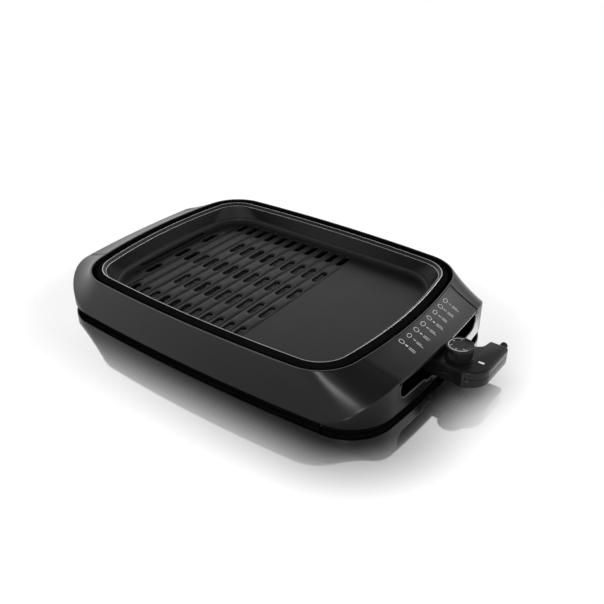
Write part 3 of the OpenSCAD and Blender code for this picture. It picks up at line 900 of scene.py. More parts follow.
def rounded_polyline(points: Sequence[tuple[float, float]], radii: Sequence[float],
                     steps: int, loop: bool = False) -> np.ndarray:
    """Rounds the corners of a plane line with true arcs.

    An arc of radius r starts r / tan(half the corner's angle) before the corner, and turns about the
    point that lies on the corner's bisector.

    Args:
        points: Corners.
        radii: Radius at each corner.
        steps: Segments on an arc.
        loop: Whether the line closes.

    Returns:
        The line's points.
    """
    p = np.array(points, float)
    n = len(p)
    out: list[tuple[float, float]] = []
    for k in range(n):
        if radii[k] <= 0 or (not loop and k in (0, n - 1)):
            out.append(tuple(p[k]))
            continue
        a = p[k - 1] - p[k]
        b = p[(k + 1) % n] - p[k]
        a /= np.linalg.norm(a)
        b /= np.linalg.norm(b)
        half = 0.5 * math.acos(float(np.clip(a @ b, -1, 1)))
        centre = p[k] + (a + b) / np.linalg.norm(a + b) * radii[k] / math.sin(half)
        start = p[k] + a * radii[k] / math.tan(half) - centre
        end = p[k] + b * radii[k] / math.tan(half) - centre
        a0, a1 = math.atan2(start[1], start[0]), math.atan2(end[1], end[0])
        sweep = (a1 - a0 + math.pi) % (2 * math.pi) - math.pi
        out += [tuple(centre + radii[k] * np.array([math.cos(a0 + sweep * t), math.sin(a0 + sweep * t)]))
                for t in np.linspace(0, 1, steps + 1)]
    return np.array(out)


def rounded_polygon(points: Sequence[tuple[float, float]], radii: Sequence[float],
                    steps: int) -> np.ndarray:
    """A closed plane outline with rounded corners."""
    return rounded_polyline(points, radii, steps, loop=True)


@dataclass
class CookingPlate:
    """The cast plate: a bead and flange round it, a drafted wall, ribs with slots and a flat griddle."""

    finishes: Finishes
    bead: Outline = BEAD
    foot: Outline = Outline(209.4, 153.4, 62.0, 9000.0, 800.0)
    bead_z: float = 74.0
    cook_z: float = 45.4
    floor_t: float = 4.0
    pitch: float = 20.0
    row_pitch: float = 62.5
    slot_length: float = 33.0
    slot_width: float = 10.4
    first_x: float = 41.0
    field_end: float = 143.0
    drain_x: float = -198.0
    drain_half: float = 71.0
    drain_w: float = 5.5
    crown: float = 0.5
    valley: float = 1.0
    valley_w: float = 2.0
    slot_edge: float = 1.3
    dip: tuple[float, float] = (0.7, 1.8)
    side_steps: int = 12
    cap_steps: int = 10

    def rim(self) -> Skin:
        """The closed rim: one section from the flange over the bead and down to the floor's edge."""
        b, f, z, c = self.bead, self.foot, self.bead_z, self.cook_z
        corners = [
            (b.grown(9.2), z - 5.6, 0.4), (b.grown(9.2), z - 4.2, 1.2), (b.grown(6.0), z - 2.4, 2.0),
            (b.grown(1.9), z - 1.1, 0.5), (b.grown(0.9), z + 0.1, 0.7), (b.grown(-0.9), z + 0.1, 0.7),
            (b.grown(-1.8), z - 1.1, 0.6), (b.grown(-3.4), z - 2.4, 0.6), (b.grown(-4.4), z - 4.2, 0.8),
            (f, c + 7.1, 0.25), (f.grown(-1.4), c + 6.6, 0.25), (f.grown(-3.0), c + 2.9, 2.0),
            (f.grown(-6.5), c + 0.6, 2.4), (f.grown(-11.5), c, 0.0), (f.grown(-11.5), c - self.floor_t, 0.0),
            (f.grown(-6), c - self.floor_t, 3.0), (f.grown(1.5), c + 1, 2.0), (b.grown(-1), z - 6.5, 1.0),
            (b.grown(1), z - 4.8, 0.8), (b.grown(7), z - 5.0, 0.5),
        ]
        rings = [at_height(outline.ring(), height) for outline, height, _ in corners]
        skin = Skin()
        skin.grid(filleted(rings, [r for _, _, r in corners], steps=4, loop=True), closed=(True, True))
        return skin

    def relief(self, x: np.ndarray, y: np.ndarray, edge: np.ndarray) -> np.ndarray:
        """Height of the ribbed surface above the griddle's level.

        Across each rib it is a low crown, c (1 - (2 d / pitch)^2), between bell-shaped valleys
        exp(-(d / w)^2) at the half pitches, and it falls off within about a millimetre of a slot.

        Args:
            x: Places across the ribs.
            y: Places along the ribs.
            edge: Distance to the nearest slot's edge.

        Returns:
            Heights in millimetres.
        """
        across = (x - self.first_x + self.pitch / 2) % self.pitch - self.pitch / 2
        to_valley = self.pitch / 2 - np.abs(across)
        fade = smoothstep((self.field_end - 1.5 - np.abs(y)) / 5.0)
        crown = self.crown * (1 - (2 * across / self.pitch) ** 2)
        valley = self.valley * np.exp(-((to_valley / self.valley_w) ** 2))
        deep, reach = self.dip
        dip = deep * np.exp(-np.maximum(edge, 0.0) / reach) * smoothstep(to_valley / 1.5)
        return fade * (crown - valley) - dip

    def cell(self, low: float, high: float, slotted: bool) -> tuple[np.ndarray, np.ndarray]:
        """Rings of one cell between its slot and its rectangle, about the slot's middle.

        Matching points on the slot's outline and on the rectangle are joined by straight lines, and the
        rings lie closer together near the slot's edge and near the valley.

        Args:
            low: Where the rectangle begins along y.
            high: Where it ends.
            slotted: Whether the middle is open.

        Returns:
            Points (rings, columns, 2) and their distance to the slot's edge.
        """
        r, run = self.slot_width / 2, (self.slot_length - self.slot_width) / 2
        n_side, n_cap = self.side_steps, self.cap_steps
        s = np.linspace(0, 1, n_side, endpoint=False)
        a = np.linspace(0, math.pi, n_cap, endpoint=False)
        half = self.pitch / 2
        slot_loop = np.concatenate([
            np.column_stack([np.full(n_side, r), -run + 2 * run * s]),
            np.column_stack([r * np.cos(a), run + r * np.sin(a)]),
            np.column_stack([np.full(n_side, -r), run - 2 * run * s]),
            np.column_stack([-r * np.cos(a), -run - r * np.sin(a)]),
        ])
        c = np.linspace(0, 1, n_cap, endpoint=False)
        box_loop = np.concatenate([
            np.column_stack([np.full(n_side, half), low + (high - low) * s]),
            np.column_stack([half - self.pitch * c, np.full(n_cap, high)]),
            np.column_stack([np.full(n_side, -half), high - (high - low) * s]),
            np.column_stack([-half + self.pitch * c, np.full(n_cap, low)]),
        ])
        mix = np.array([0.0, 0.08, 0.2, 0.36, 0.54, 0.7, 0.82, 0.91, 1.0])
        rings = slot_loop + (box_loop - slot_loop) * mix[:, None, None]
        if not slotted:
            inner = slot_loop * np.array([0.0, 1.0])
            fill = np.array([0.12, 0.4, 0.7])
            rings = np.concatenate([inner + (slot_loop - inner) * fill[:, None, None], rings])
        nearest = np.stack([np.zeros_like(rings[..., 1]), np.clip(rings[..., 1], -run, run)], axis=-1)
        edge = np.linalg.norm(rings - nearest, axis=-1) - r
        return rings, edge

    def has_slot(self, column: int, row: int) -> bool:
        """Whether a place of the field has a slot.

        Args:
            column: 0 next to the griddle, counted to the left.
            row: -2 at the front to 2 at the back.

        Returns:
            True where the plate is open.
        """
        if abs(row) == 2:
            return column <= 10
        if abs(row) == 1:
            return column <= 8 or column == 11
        return True

    def ribs(self) -> Skin:
        """The ribbed field, cell by cell, with the slots' rounded edges and a wall round the field.

        Neighbouring cells share the points of their common side, so welding joins them to one closed skin.

        Returns:
            The skin, to be welded.
        """
        skin = Skin()
        half = self.row_pitch / 2
        under = self.cook_z - self.floor_t
        n, c = self.side_steps, self.cap_steps
        walls = ((-1, 0, 0, n), (1, 0, n + c, n), (0, 1, n, c), (0, -1, 2 * n + c, c))
        places = [(column, row) for column in range(12) for row in range(-2, 3)
                  if column < 11 or abs(row) < 2]
        for column, row in places:
            low = 2 * self.row_pitch - self.field_end if row == -2 else -half
            high = self.field_end - 2 * self.row_pitch if row == 2 else half
            slotted = self.has_slot(column, row)
            plan, edge = self.cell(low, high, slotted)
            at = plan + np.array([self.first_x - column * self.pitch, row * self.row_pitch])
            gap = edge if slotted else np.full_like(edge, 50.0)
            z = self.cook_z + self.relief(at[..., 0], at[..., 1], gap)
            top = np.concatenate([at, z[..., None]], axis=-1)
            if slotted:
                top = np.concatenate([self.slot_wall(top[0], under), top])
            start = skin.grid(top, flip=True)
            bottom = top[[0, -1]].copy()
            bottom[..., 2] = under
            low_start = skin.grid(bottom)
            if not slotted:
                skin.cap(start, top.shape[1])
                skin.cap(low_start, bottom.shape[1], flip=True)
            for to_column, to_row, first, steps in walls:
                if (column + to_column, row + to_row) not in places:
                    pick = np.arange(first, first + steps + 1) % top.shape[1]
                    skin.grid(np.stack([bottom[-1][pick], top[-1][pick]]), closed=(False, False))
        return skin

    def slot_wall(self, top: np.ndarray, under: float) -> np.ndarray:
        """Rings down a slot's wall, starting with a rounded edge.

        Args:
            top: The ring at the slot's edge.
            under: Height of the plate's underside.

        Returns:
            Rings from the underside up to just below the edge.
        """
        middle = top[:, :2].mean(axis=0)
        outward = top[:, :2] - middle
        reach = np.linalg.norm(outward, axis=1, keepdims=True)
        unit = outward / reach
        rows: list[np.ndarray] = []
        for angle in np.linspace(0.0, math.pi / 2, 4)[:0:-1]:
            inwards = self.slot_edge * 0.45 * math.cos(math.pi / 2 - angle)
            drop = self.slot_edge * (1 - math.cos(angle))
            ring = top.copy()
            ring[:, :2] -= unit * inwards
            ring[:, 2] -= drop
            rows.append(ring)
        floor = rows[0].copy()
        floor[:, 2] = under
        return np.stack([floor] + rows)

    def floor(self) -> Skin:
        """The flat floor as a slab whose edge lies under the rim's cove."""
        plan = self.foot.grown(-10.5).ring()
        skin = Skin()
        skin.tube(np.stack([at_height(plan, self.cook_z - self.floor_t), at_height(plan, self.cook_z)]))
        return skin

    def block(self, x0: float, x1: float, y_half: float) -> bpy.types.Object:
        """A box that opens the floor for the ribbed field.

        Args:
            x0: Its left side.
            x1: Its right side.
            y_half: Half its depth.

        Returns:
            A closed object.
        """
        plan = np.array([[x1, -y_half], [x1, y_half], [x0, y_half], [x0, -y_half]])
        low, high = self.cook_z - self.floor_t - 1, self.cook_z + 1
        skin = Skin()
        skin.tube(np.stack([at_height(plan, low), at_height(plan, high)]))
        return skin.thing("opening_block")

    def drain(self) -> bpy.types.Object:
        """The solid of the long drain slot."""
        w, h = self.drain_w / 2, self.drain_half
        right, left = self.drain_x + w, self.drain_x - w
        plan = rounded_polygon([(right, -h), (right, h), (left, h), (left, -h)], [w - 0.05] * 4, 8)
        skin = Skin()
        skin.tube(np.stack([at_height(plan, self.cook_z - 9), at_height(plan, self.cook_z + 9)]))
        return skin.thing("drain")

    def bead_line(self) -> Skin:
        """The bead's crest, turned bright, and the step inside it, whose bright strip is a painted highlight
        of its rounded edge: low half-round strips.
        """
        section = [(-0.85, -0.35), (-0.6, 0.05), (-0.2, 0.25), (0.2, 0.25), (0.6, 0.05), (0.85, -0.35),
                   (0.0, -0.8)]
        skin = Skin()
        # The second strip, on the step, is a painted highlight of the step's rounded edge
        for out, up, size in ((0.2, -0.05, 1.1), (-4.1, -3.5, 0.5)):
            rings = [at_height(self.bead.grown(out + size * by).ring(), self.bead_z + up + size * high)
                     for by, high in reversed(section)]
            skin.grid(np.stack(rings), closed=(True, True))
        return skin

    def flange(self) -> Skin:
        """The flange outside the bead, a closed strip that lies on the casting's edge; its black finish is
        painted shade of the gap to the body.
        """
        section = [(0.8, 0.18), (1.2, 0.0), (2.1, -0.95), (4.0, -1.45), (6.6, -2.5), (8.6, -3.5),
                   (9.3, -4.2), (9.35, -5.7), (8.4, -5.9), (0.8, -3.0)]
        rings = [at_height(self.bead.grown(out).ring(), self.bead_z + up)
                 for out, up in reversed(section)]
        skin = Skin()
        skin.grid(np.stack(rings), closed=(True, True))
        return skin

    def build(self) -> None:
        """Builds rim, bright bead, flange, floor and ribs."""
        # The flange's black finish without reflection is painted shade
        self.flange().piece("plate_flange", Body.PLATE, self.finishes.flange, "nonstick")
        self.bead_line().piece("plate_bead", Body.PLATE, self.finishes.bead, "nonstick")
        rim = self.rim().thing("plate_rim")
        cut(rim, [self.drain()])
        finished(rim, Body.PLATE, self.finishes.plate, ["grill_plate"], crease=40)
        floor = self.floor().thing("plate_floor")
        right = self.first_x + self.pitch / 2
        inner = self.first_x - 10.5 * self.pitch
        outer = self.first_x - 11.5 * self.pitch
        wide = self.block(inner, right, self.field_end)
        last_column = self.block(outer, inner + 1, 1.5 * self.row_pitch)
        cut(floor, [wide, last_column, self.drain()])
        finished(floor, Body.PLATE, self.finishes.plate)
        ribs = self.ribs().thing("plate_ribs")
        weld(ribs)
        finished(ribs, Body.PLATE, self.finishes.plate, crease=60)


def extruded(skin: Skin, plan: np.ndarray, z0: float, z1: float, low_edge: float, high_edge: float) -> None:
    """Adds a prism whose lower and upper edges are rounded by quarter circles.

    At an angle a of the rounding the outline is drawn in by r (1 - cos a) along its own normals, and
    lies r (1 - sin a) from the end face.

    Args:
        skin: The skin to add to.
        plan: The outline, counter-clockwise.
        z0: Height of the lower face.
        z1: Height of the upper face.
        low_edge: Radius of the lower edge.
        high_edge: Radius of the upper edge.
    """
    turns = np.linspace(0, math.pi / 2, 6)
    rows = []
    for z, r, up, angles in ((z0, low_edge, 1, turns[::-1]), (z1, high_edge, -1, turns)):
        for a in angles:
            rows.append(at_height(inset(plan, r * (1 - math.cos(a))), z + up * r * (1 - math.sin(a))))
    skin.tube(np.stack(rows))


def inset(plan: np.ndarray, by: float) -> np.ndarray:
    """Draws an outline in along the mean normals at its points.

    Args:
        plan: The outline, counter-clockwise.
        by: How far, in millimetres.

    Returns:
        The narrower outline, with as many points.
    """
    ahead = np.roll(plan, -1, axis=0) - plan
    behind = plan - np.roll(plan, 1, axis=0)
    unit = ahead / np.linalg.norm(ahead, axis=1, keepdims=True)
    unit = unit + behind / np.linalg.norm(behind, axis=1, keepdims=True)
    unit /= np.maximum(np.linalg.norm(unit, axis=1, keepdims=True), 1e-6)
    return plan + by * np.stack([-unit[:, 1], unit[:, 0]], axis=1)


@dataclass
class BaseBand:
    """The black band below the body: a skirt of the base, and the tray's front that fills its gap, in black
    nylon with its reflection turned off, partly painted shade under the body.
    """

    finishes: Finishes
    wall: Outline = WALL
    inset_by: float = 2.4
    thick: float = 2.2
    low: float = 0.4
    high: float = 7.9
    tray_half: float = 210.5
    counts: tuple[int, int, int] = (26, 22, 60)

    def band(self, first: int, count: int) -> Skin:
        """A strip along part of the outline with rounded lower edges.

        Args:
            first: Index of the outline's point where it begins.
            count: How many points it covers.

        Returns:
            The strip.
        """
        section = [(0.0, self.high), (0.0, self.low + 1.2), (-0.35, self.low + 0.35), (-1.2, self.low),
                   (-self.thick, self.low), (-self.thick, self.high)]
        pick = np.arange(first, first + count)
        rings = []
        for out, z in section:
            ring = self.wall.grown(out - self.inset_by).ring(self.counts)
            rings.append(at_height(ring[pick % len(ring)], z))
        skin = Skin()
        skin.tube(np.swapaxes(np.stack(rings), 0, 1))
        return skin

    def build(self) -> None:
        """Builds the skirt on the base and the front strip on the tray."""
        ring = self.wall.ring(self.counts)
        front = (ring[:, 1] < 0) & (np.abs(ring[:, 0]) < self.tray_half)
        index = np.flatnonzero(front)
        strip = self.band(int(index[0]), len(index))
        strip.piece("tray_front", Body.TRAY, self.finishes.base, "base_black")
        skirt = self.band(int(index[-1]) + 1, len(ring) - len(index))
        skirt.piece("base_skirt", Body.HOUSING, self.finishes.base, "base_black")


@dataclass
class ControlPlug:
    """The plug-in control: a nose under the knob, and an arm that bends back to the cord's gland."""

    finishes: Finishes
    front: float = 262.0
    out: float = 343.0
    corner: float = 29.0
    low: float = 20.6
    high: float = 44.0
    seam: float = 33.0
    seam_gap: float = 0.25

    def plan(self) -> np.ndarray:
        """Outline of nose and arm, counter-clockwise from the nose's front corner."""
        corners = [
            (self.front, -24.0, 3.0), (self.out, -29.0, self.corner), (self.out, 57.0, 5.0),
            (317.0, 57.4, 2.5), (314.2, 41.0, 9.0), (306.0, 35.0, 5.0), (self.front, 35.0, 3.0),
        ]
        return rounded_polygon([(x, y) for x, y, _ in corners], [r for _, _, r in corners], 14)

    def nose(self) -> np.ndarray:
        """Outline of the raised block that carries the knob and stands proud of the arm's outer wall."""
        corners = [
            (self.front + 2, -22.5, 2.0), (309.5, -27.2, 30.0), (323.0, -31.2, 2.6),
            (319.5, -18.0, 14.0), (300.0, 8.0, 14.0), (self.front + 2, 8.0, 3.0),
        ]
        return rounded_polygon([(x, y) for x, y, _ in corners], [r for _, _, r in corners], 8)

    def build(self) -> None:
        """Builds both shells of the housing and the nose."""
        lower, upper, nose = Skin(), Skin(), Skin()
        extruded(lower, self.plan(), self.low, self.seam - self.seam_gap, 2.0, 0.3)
        extruded(upper, self.plan(), self.seam + self.seam_gap, self.high, 0.3, 2.8)
        extruded(upper, inset(self.plan(), 0.6), self.seam - 1, self.seam + 1, 0.1, 0.1)
        extruded(nose, self.nose(), self.low + 1.0, self.high - 0.4, 1.5, 2.0)
        made = [
            ("plug_lower_skin", lower, ["plug_lower_shell"]),
            ("plug_upper_skin", upper, ["plug_upper_shell"]),
            ("plug_nose_skin", nose, []),
        ]
        for name, skin, nodes in made:
            skin.piece(name, Body.PLUG, self.finishes.plug, "plug_black", nodes)


@dataclass
class Knob:
    """The round knob: a ridged skirt, a groove and a dial with a printed line and plain numbers."""

    finishes: Finishes
    centre: tuple[float, float] = (300.0, 0.0)
    radius: float = 18.0
    low: float = 44.6
    top: float = 62.5
    ridges: int = 60
    ridge_depth: float = 0.28
    dial_dish: float = 0.35
    line_radius: float = 14.6
    line_width: float = 0.6
    line_from: float = 95.0
    line_to: float = 335.0
    numbers: int = 5
    number_size: float = 3.1
    number_in: float = 3.2
    number_margin: float = 14.0

    def surface(self) -> Skin:
        """A lathe form whose skirt carries ridges: r (a) = r0 + d (|cos (n a / 2)| - 1).

        Returns:
            The closed skin.
        """
        r, z0, z1 = self.radius, self.low, self.top
        profile = np.array([
            (r - 2.6, z0, 0), (r - 0.3, z0, 0), (r, z0 + 0.3, 0), (r, z0 + 1.4, 0), (r - 0.55, z0 + 1.7, 1),
            (r - 0.6, z0 + 4.0, 1), (r - 0.7, z0 + 9.0, 1), (r - 0.8, z1 - 5.0, 1), (r - 0.9, z1 - 4.7, 0),
            (r - 0.9, z1 - 4.2, 0), (r - 0.1, z1 - 3.9, 0), (r, z1 - 3.6, 0), (r, z1 - 1.2, 0),
            (r - 0.15, z1 - 0.6, 0), (r - 0.55, z1 - 0.15, 0), (r - 1.2, z1, 0), (r - 1.9, z1 - 0.05, 0),
            (r - 2.4, z1 - self.dial_dish, 0), (r - 9.0, z1 - self.dial_dish, 0),
            (2.0, z1 - self.dial_dish, 0),
        ])
        angle = np.linspace(0, 2 * math.pi, self.ridges * 6, endpoint=False)
        wave = np.abs(np.cos(self.ridges * angle / 2)) - 1
        radius = profile[:, 0:1] + profile[:, 2:3] * self.ridge_depth * 2 * wave
        x = self.centre[0] + radius * np.cos(angle)
        y = self.centre[1] + radius * np.sin(angle)
        rings = np.stack([x, y, np.broadcast_to(profile[:, 1:2], x.shape)], axis=-1)
        skin = Skin()
        skin.tube(rings)
        return skin

    def build(self) -> None:
        """Builds the knob and prints its dial."""
        self.surface().piece("knob_skin", Body.KNOB, self.finishes.knob, "knob_black", ["knob"])
        lift = self.top - self.dial_dish + INK_LIFT
        a = np.radians(np.linspace(self.line_from, self.line_to, 64))
        inner, outer = self.line_radius - self.line_width / 2, self.line_radius + self.line_width / 2
        around = np.stack([np.cos(a), np.sin(a)], axis=-1)
        middle = np.array(self.centre)
        ribbon = [at_height(middle + r * around, lift) for r in (inner, outer)]
        skin = Skin()
        skin.grid(np.stack(ribbon), closed=(False, False), flip=True)
        skin.piece("dial_line", Body.KNOB, self.finishes.ink, "knob_black")
        ends = self.line_from + self.number_margin, self.line_to - self.number_margin
        for k, turn in enumerate(np.radians(np.linspace(*ends, self.numbers)), 1):
            way = np.array([math.cos(turn), math.sin(turn)])
            place = middle + (self.line_radius - self.number_in) * way
            digit, faces = glyph(str(k), self.number_size, turn + math.pi / 2)
            mark = Skin()
            mark.add_points(at_height(digit + place, lift))
            mark.caps = faces
            mark.piece("dial_number_%d" % k, Body.KNOB, self.finishes.ink, "knob_black")


def glyph(text: str, size: float, turn: float) -> tuple[np.ndarray, list[list[int]]]:
    """Flat outline of plain characters about their middle.

    Args:
        text: The characters.
        size: Their height in millimetres.
        turn: Rotation in radians.

    Returns:
        Points as x, y and faces as lists of indices.
    """
    letters = bpy.data.curves.new("letters", "FONT")
    letters.body = text
    letters.size = size / CAP_HEIGHT
    letters.resolution_u = 3
    thing = new_object("letters", letters)
    flat = evaluated_mesh(thing)
    points = np.empty(len(flat.vertices) * 3)
    flat.vertices.foreach_get("co", points)
    faces = [list(face.vertices) for face in flat.polygons]
    points = points.reshape(-1, 3)[:, :2]
    points -= 0.5 * (points.min(axis=0) + points.max(axis=0))
    bpy.data.objects.remove(thing)
    bpy.data.curves.remove(letters)
    bpy.data.meshes.remove(flat)
    spin = np.array([[math.cos(turn), math.sin(turn)], [-math.sin(turn), math.cos(turn)]])
    return points @ spin, faces


@dataclass
class CoverPrint:
    """Printed guide on the right handle cover: a column of plain rings with plain numbers."""

    finishes: Finishes
    shell: BodyShell
    rows: int = 8
    first_y: float = 74.0
    pitch: float = 17.2
    ring_at: float = 8.5
    ring_r: tuple[float, float] = (4.6, 3.5)
    ring_along: tuple[float, ...] = (1.0, 0.8, 0.9, 0.7)
    ring_across: tuple[float, ...] = (0.8, 1.0, 0.75, 1.0)
    stroke: float = 0.5
    number_at: float = 16.5
    number_size: float = 4.2
    bar_at: float = 20.5
    bar_half: float = 0.3

    def on_cover(self, plan: np.ndarray) -> np.ndarray:
        """Lays points onto the cover: the first coordinate runs down the slope, the second along the body.

        Args:
            plan: Distances down the slope and places along y, in millimetres.

        Returns:
            The points on the cover.
        """
        y = plan[:, 1]
        lip = self.shell.bead.grown(self.shell.lip_out).half_length_at(y)
        wide = self.shell.wall.half_length_at(y) - lip
        slope = np.hypot(wide, self.shell.lip_z - self.shell.crease_z)
        t = plan[:, 0] / slope
        z = self.shell.lip_z + (self.shell.crease_z - self.shell.lip_z) * (t + self.shell.sag * t * (1 - t))
        return np.stack([lip + wide * t, y, z + INK_LIFT], axis=-1)

    def build(self) -> None:
        """Prints every row as one piece: a ring, a number and two plain bars."""
        a = np.linspace(0, 2 * math.pi, 40, endpoint=False)
        h = self.bar_half
        for row in range(self.rows):
            y = self.first_y - row * self.pitch
            skin = Skin()
            along = self.ring_r[0] * self.ring_along[row % 4]
            across = self.ring_r[1] * self.ring_across[row % 4]
            loops = []
            for grow in (-self.stroke / 2, self.stroke / 2):
                down = self.ring_at + (across + grow) * np.cos(a)
                loops.append(self.on_cover(np.stack([down, y + (along + grow) * np.sin(a)], axis=-1)))
            skin.grid(np.stack(loops), flip=True)
            self.write(skin, str(row + 1), y)
            for place, length in ((-1.6, 11.5 - 1.5 * (row % 3)), (1.2, 7.5 + 2.0 * (row % 2))):
                bar = np.array([[0, -h], [length, -h], [length, h], [0, h]]) + [self.bar_at, y + place]
                skin.cap(skin.add_points(self.on_cover(bar)), 4)
            skin.piece("cover_print_%d" % (row + 1), Body.HOUSING, self.finishes.ink, "cover_grey")

    def write(self, skin: Skin, text: str, y: float) -> None:
        """Adds a number to a row's skin.

        Args:
            skin: The row's skin.
            text: The number.
            y: The row's place along the cover.
        """
        points, faces = glyph(text, self.number_size, -math.pi / 2)
        start = skin.add_points(self.on_cover(points + [self.number_at, y]))
        skin.caps += [[start + k for k in face] for face in faces]


def dress_nodes(finishes: Finishes) -> None:
    """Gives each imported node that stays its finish.

    Args:
        finishes: The grill's finishes.
    """
    worn = (
        (finishes.base, "base_frame tray_grip"),
        (finishes.rubber, "rubber_feet cord_gland"),
        (finishes.zinc, "base_screws cover_screws rail_screws plug_screws knob_shaft"),
        (finishes.body, "body_shell"),
        (finishes.cover, "left_handle_cover right_handle_cover"),
        (finishes.sheet, "support_rails plate_supports element_clips terminal_bracket sensor_sleeve"),
        (finishes.sheath, "heating_element"),
        (finishes.ceramic, "terminal_block"),
        (finishes.nickel, "contact_pins sensor_rod"),
        (finishes.guard, "socket_guard"),
        (finishes.plate, "grill_plate"),
        (finishes.enamel, "drip_tray"),
        (finishes.plug, "plug_lower_shell plug_upper_shell"),
        (finishes.phenolic, "thermostat_switch"),
        (finishes.brass, "contact_sockets shaft_bush"),
        (finishes.lens, "pilot_lens"),
        (finishes.knob, "knob"),
    )
    dress = {name: finish for finish, names in worn for name in names.split()}
    for name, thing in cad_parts.items():
        thing.data.materials.clear()
        thing.data.materials.append(dress[name])


# Studio


@dataclass
class Studio:
    """The pale floor, the soft lights and the camera at the photographed angle."""

    azimuth: float = 36.43
    elevation: float = 30.93
    target: tuple[float, float, float] = (90.9, -49.5, 73.8)
    distance: float = 1042.1
    lens: float = 46.59
    mirror_half: tuple[float, float, float] = (211.0, 115.0, 1.0)
    mirror_fade: tuple[float, float] = (70.0, 195.0)
    mirror_share: float = 1.0
    mirror_rough: float = 0.06
    floor_reach: float = 6000.0
    floor_z: float = -0.05
    far_fade: tuple[float, float] = (0.42, 0.75)
    wall_top: tuple[float, float] = (0.5, 0.72)
    ceiling: float = 0.27
    world_light: float = 1.15

    def camera(self) -> None:
        """Places the camera: it looks at the target from the azimuth and elevation."""
        az, el = math.radians(self.azimuth), math.radians(self.elevation)
        away = np.array([math.sin(az) * math.cos(el), -math.cos(az) * math.cos(el), math.sin(el)])
        eye = placed(np.array(self.target) + self.distance * away)
        data = bpy.data.cameras.new("camera")
        data.lens = self.lens
        data.sensor_width = 36.0
        data.clip_end = 50.0
        thing = new_object("camera", data)
        thing.location = eye
        thing.rotation_euler = (math.pi / 2 - el, 0.0, az)
        bpy.context.scene.camera = thing

    def floor(self) -> None:
        """A wide white floor that mirrors the grill close to it and fades to plain white further out."""
        skin = Skin()
        plan = np.array([[1, -1], [1, 1], [-1, 1], [-1, -1]]) * self.floor_reach
        skin.cap(skin.add_points(at_height(plan, self.floor_z)), 4)
        thing = skin.thing("studio_floor")
        made = bpy.data.materials.new("polished white floor")
        made.use_nodes = True
        tree = made.node_tree
        tree.nodes.clear()
        where = add_node(tree, "ShaderNodeTexCoord").outputs["Object"]
        near = self.near_body(tree, where)
        matt = add_node(tree, "ShaderNodeBsdfDiffuse", {"in:Color": linear("f6f6f6")})
        mirror = add_node(tree, "ShaderNodeBsdfGlossy",
                          {"in:Color": linear("f6f6f6"), "in:Roughness": self.mirror_rough})
        mix = add_node(tree, "ShaderNodeMixShader", {},
                       {0: near, 1: matt.outputs[0], 2: mirror.outputs[0]})
        rays = add_node(tree, "ShaderNodeLightPath").outputs
        sharp = add_node(tree, "ShaderNodeMath", {"operation": "MAXIMUM"},
                         {0: rays["Is Camera Ray"], 1: rays["Is Glossy Ray"]})
        glow = add_node(tree, "ShaderNodeEmission", {"in:Color": linear("ffffff"), "in:Strength": 1.0})
        out = add_node(tree, "ShaderNodeVectorMath", {"operation": "LENGTH"}, {0: where})
        far = add_node(tree, "ShaderNodeMapRange",
                       {"interpolation_type": "SMOOTHSTEP", "in:From Min": self.far_fade[0],
                        "in:From Max": self.far_fade[1]},
                       {"Value": out.outputs["Value"]})
        share = add_node(tree, "ShaderNodeMath", {"operation": "MULTIPLY"},
                         {0: far.outputs["Result"], 1: sharp.outputs[0]})
        whole = add_node(tree, "ShaderNodeMixShader", {},
                         {0: share.outputs[0], 1: mix.outputs[0], 2: glow.outputs[0]})
        add_node(tree, "ShaderNodeOutputMaterial", {}, {"Surface": whole.outputs[0]})
        thing.data.materials.append(made)

    def near_body(self, tree: bpy.types.NodeTree, where: bpy.types.NodeSocket) -> bpy.types.NodeSocket:
        """How close a point of the floor is to the body: 1 at its lower edge and 0 far from it.

        The distance is measured to a rectangle with round corners: q = max(|p| - half, 0), d = |q|.

        Args:
            tree: The floor's node tree.
            where: Object coordinates in metres.

        Returns:
            The socket with the share of mirror.
        """
        steps = (
            ("SUBTRACT", (plan_shift() * MM, 0.0, 0.0)),
            ("ABSOLUTE", (0.0, 0.0, 0.0)),
            ("SUBTRACT", tuple(c * MM for c in self.mirror_half)),
            ("MAXIMUM", (0.0, 0.0, 0.0)),
            ("LENGTH", (0.0, 0.0, 0.0)),
        )
        flow = where
        for operation, second in steps:
            apart = add_node(tree, "ShaderNodeVectorMath",
                             {"operation": operation, "in:1": second}, {0: flow})
            flow = apart.outputs[0]
        share = add_node(tree, "ShaderNodeMapRange",
                         {"interpolation_type": "SMOOTHSTEP", "in:From Min": self.mirror_fade[0] * MM,
                          "in:From Max": self.mirror_fade[1] * MM, "in:To Min": self.mirror_share,
                          "in:To Max": 0.0}, {"Value": apart.outputs["Value"]})
        return share.outputs["Result"]

    def lamp(self, name: str, place: tuple[float, float, float], aim: tuple[float, float, float],
             size: tuple[float, float], watts: float) -> None:
        """Adds a soft rectangular lamp.

        Args:
            name: Its name.
            place: Where it stands, in millimetres.
            aim: What it points at.
            size: Its width and height in metres.
            watts: Its power.
        """
        data = bpy.data.lights.new(name, "AREA")
        data.shape = "RECTANGLE"
        data.size, data.size_y = size
        data.energy = watts
        thing = new_object(name, data)
        thing.location = placed(np.array(place))
        way = np.array(aim) - np.array(place)
        flat = math.hypot(way[0], way[1])
        thing.rotation_euler = (math.pi / 2 + math.atan2(way[2], flat), 0.0, math.atan2(-way[0], way[1]))

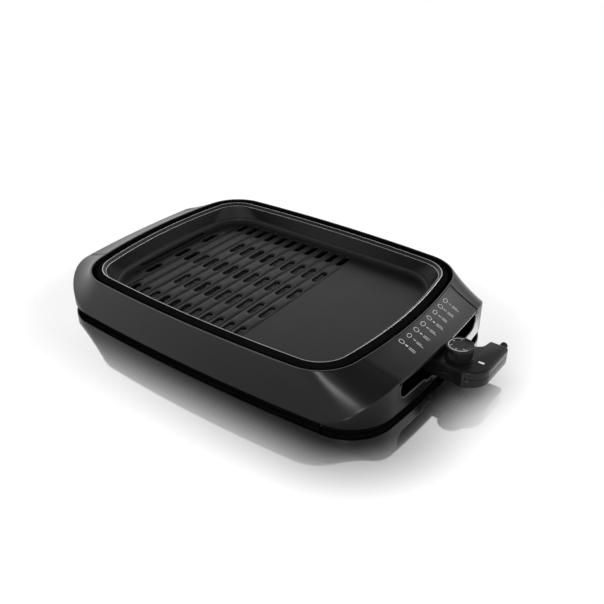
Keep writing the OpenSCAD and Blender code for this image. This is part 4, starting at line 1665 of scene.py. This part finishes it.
    def world(self) -> None:
        """A white world for the background and a softer grey one for the light."""
        world = bpy.data.worlds.new("studio")
        world.use_nodes = True
        tree = world.node_tree
        tree.nodes.clear()
        paths = add_node(tree, "ShaderNodeLightPath").outputs
        seen = add_node(tree, "ShaderNodeBackground", {"in:Color": linear("ffffff"), "in:Strength": 1.0})
        light = add_node(tree, "ShaderNodeBackground",
                         {"in:Color": linear("ffffff"), "in:Strength": self.world_light})
        way = add_node(tree, "ShaderNodeTexCoord").outputs["Generated"]
        height = add_node(tree, "ShaderNodeSeparateXYZ", {}, {0: way}).outputs["Z"]
        level = add_node(tree, "ShaderNodeMapRange",
                         {"interpolation_type": "SMOOTHSTEP", "in:From Min": self.wall_top[0],
                          "in:From Max": self.wall_top[1], "in:To Min": 1.0, "in:To Max": self.ceiling},
                         {"Value": height})
        mirrored = add_node(tree, "ShaderNodeBackground", {"in:Color": linear("ffffff")},
                            {"Strength": level.outputs["Result"]})
        soft = add_node(tree, "ShaderNodeMixShader", {},
                        {0: paths["Is Glossy Ray"], 1: light.outputs[0], 2: mirrored.outputs[0]})
        mix = add_node(tree, "ShaderNodeMixShader", {},
                       {0: paths["Is Camera Ray"], 1: soft.outputs[0], 2: seen.outputs[0]})
        add_node(tree, "ShaderNodeOutputWorld", {}, {"Surface": mix.outputs[0]})
        bpy.context.scene.world = world

    def build(self) -> None:
        """Sets up camera, floor, lamps and world."""
        self.camera()
        self.floor()
        self.world()
        self.lamp("back_softbox", (660, 1680, 1190), (255, 90, 60), (0.6, 0.4), 3.0)
        self.lamp("corner_softbox", (860, -1450, 460), (215, -160, 55), (0.2, 0.5), 5.3)
        bpy.context.scene.view_settings.view_transform = "Standard"


def main() -> None:
    """Builds the grill's looks in order."""
    logging.basicConfig(level=logging.INFO, format="%(message)s")
    finishes = Finishes()
    dress_nodes(finishes)
    Studio().build()
    body = BodyShell(finishes)
    body.build()
    body.build_cover(1.0, "right_handle_cover")
    body.build_cover(-1.0, "left_handle_cover")
    # The black strips in the covers' slits are painted shade
    body.build_gap_shade_strips()
    CookingPlate(finishes).build()
    BaseBand(finishes).build()
    ControlPlug(finishes).build()
    Knob(finishes).build()
    CoverPrint(finishes, body).build()


if __name__ == "__main__":
    main()
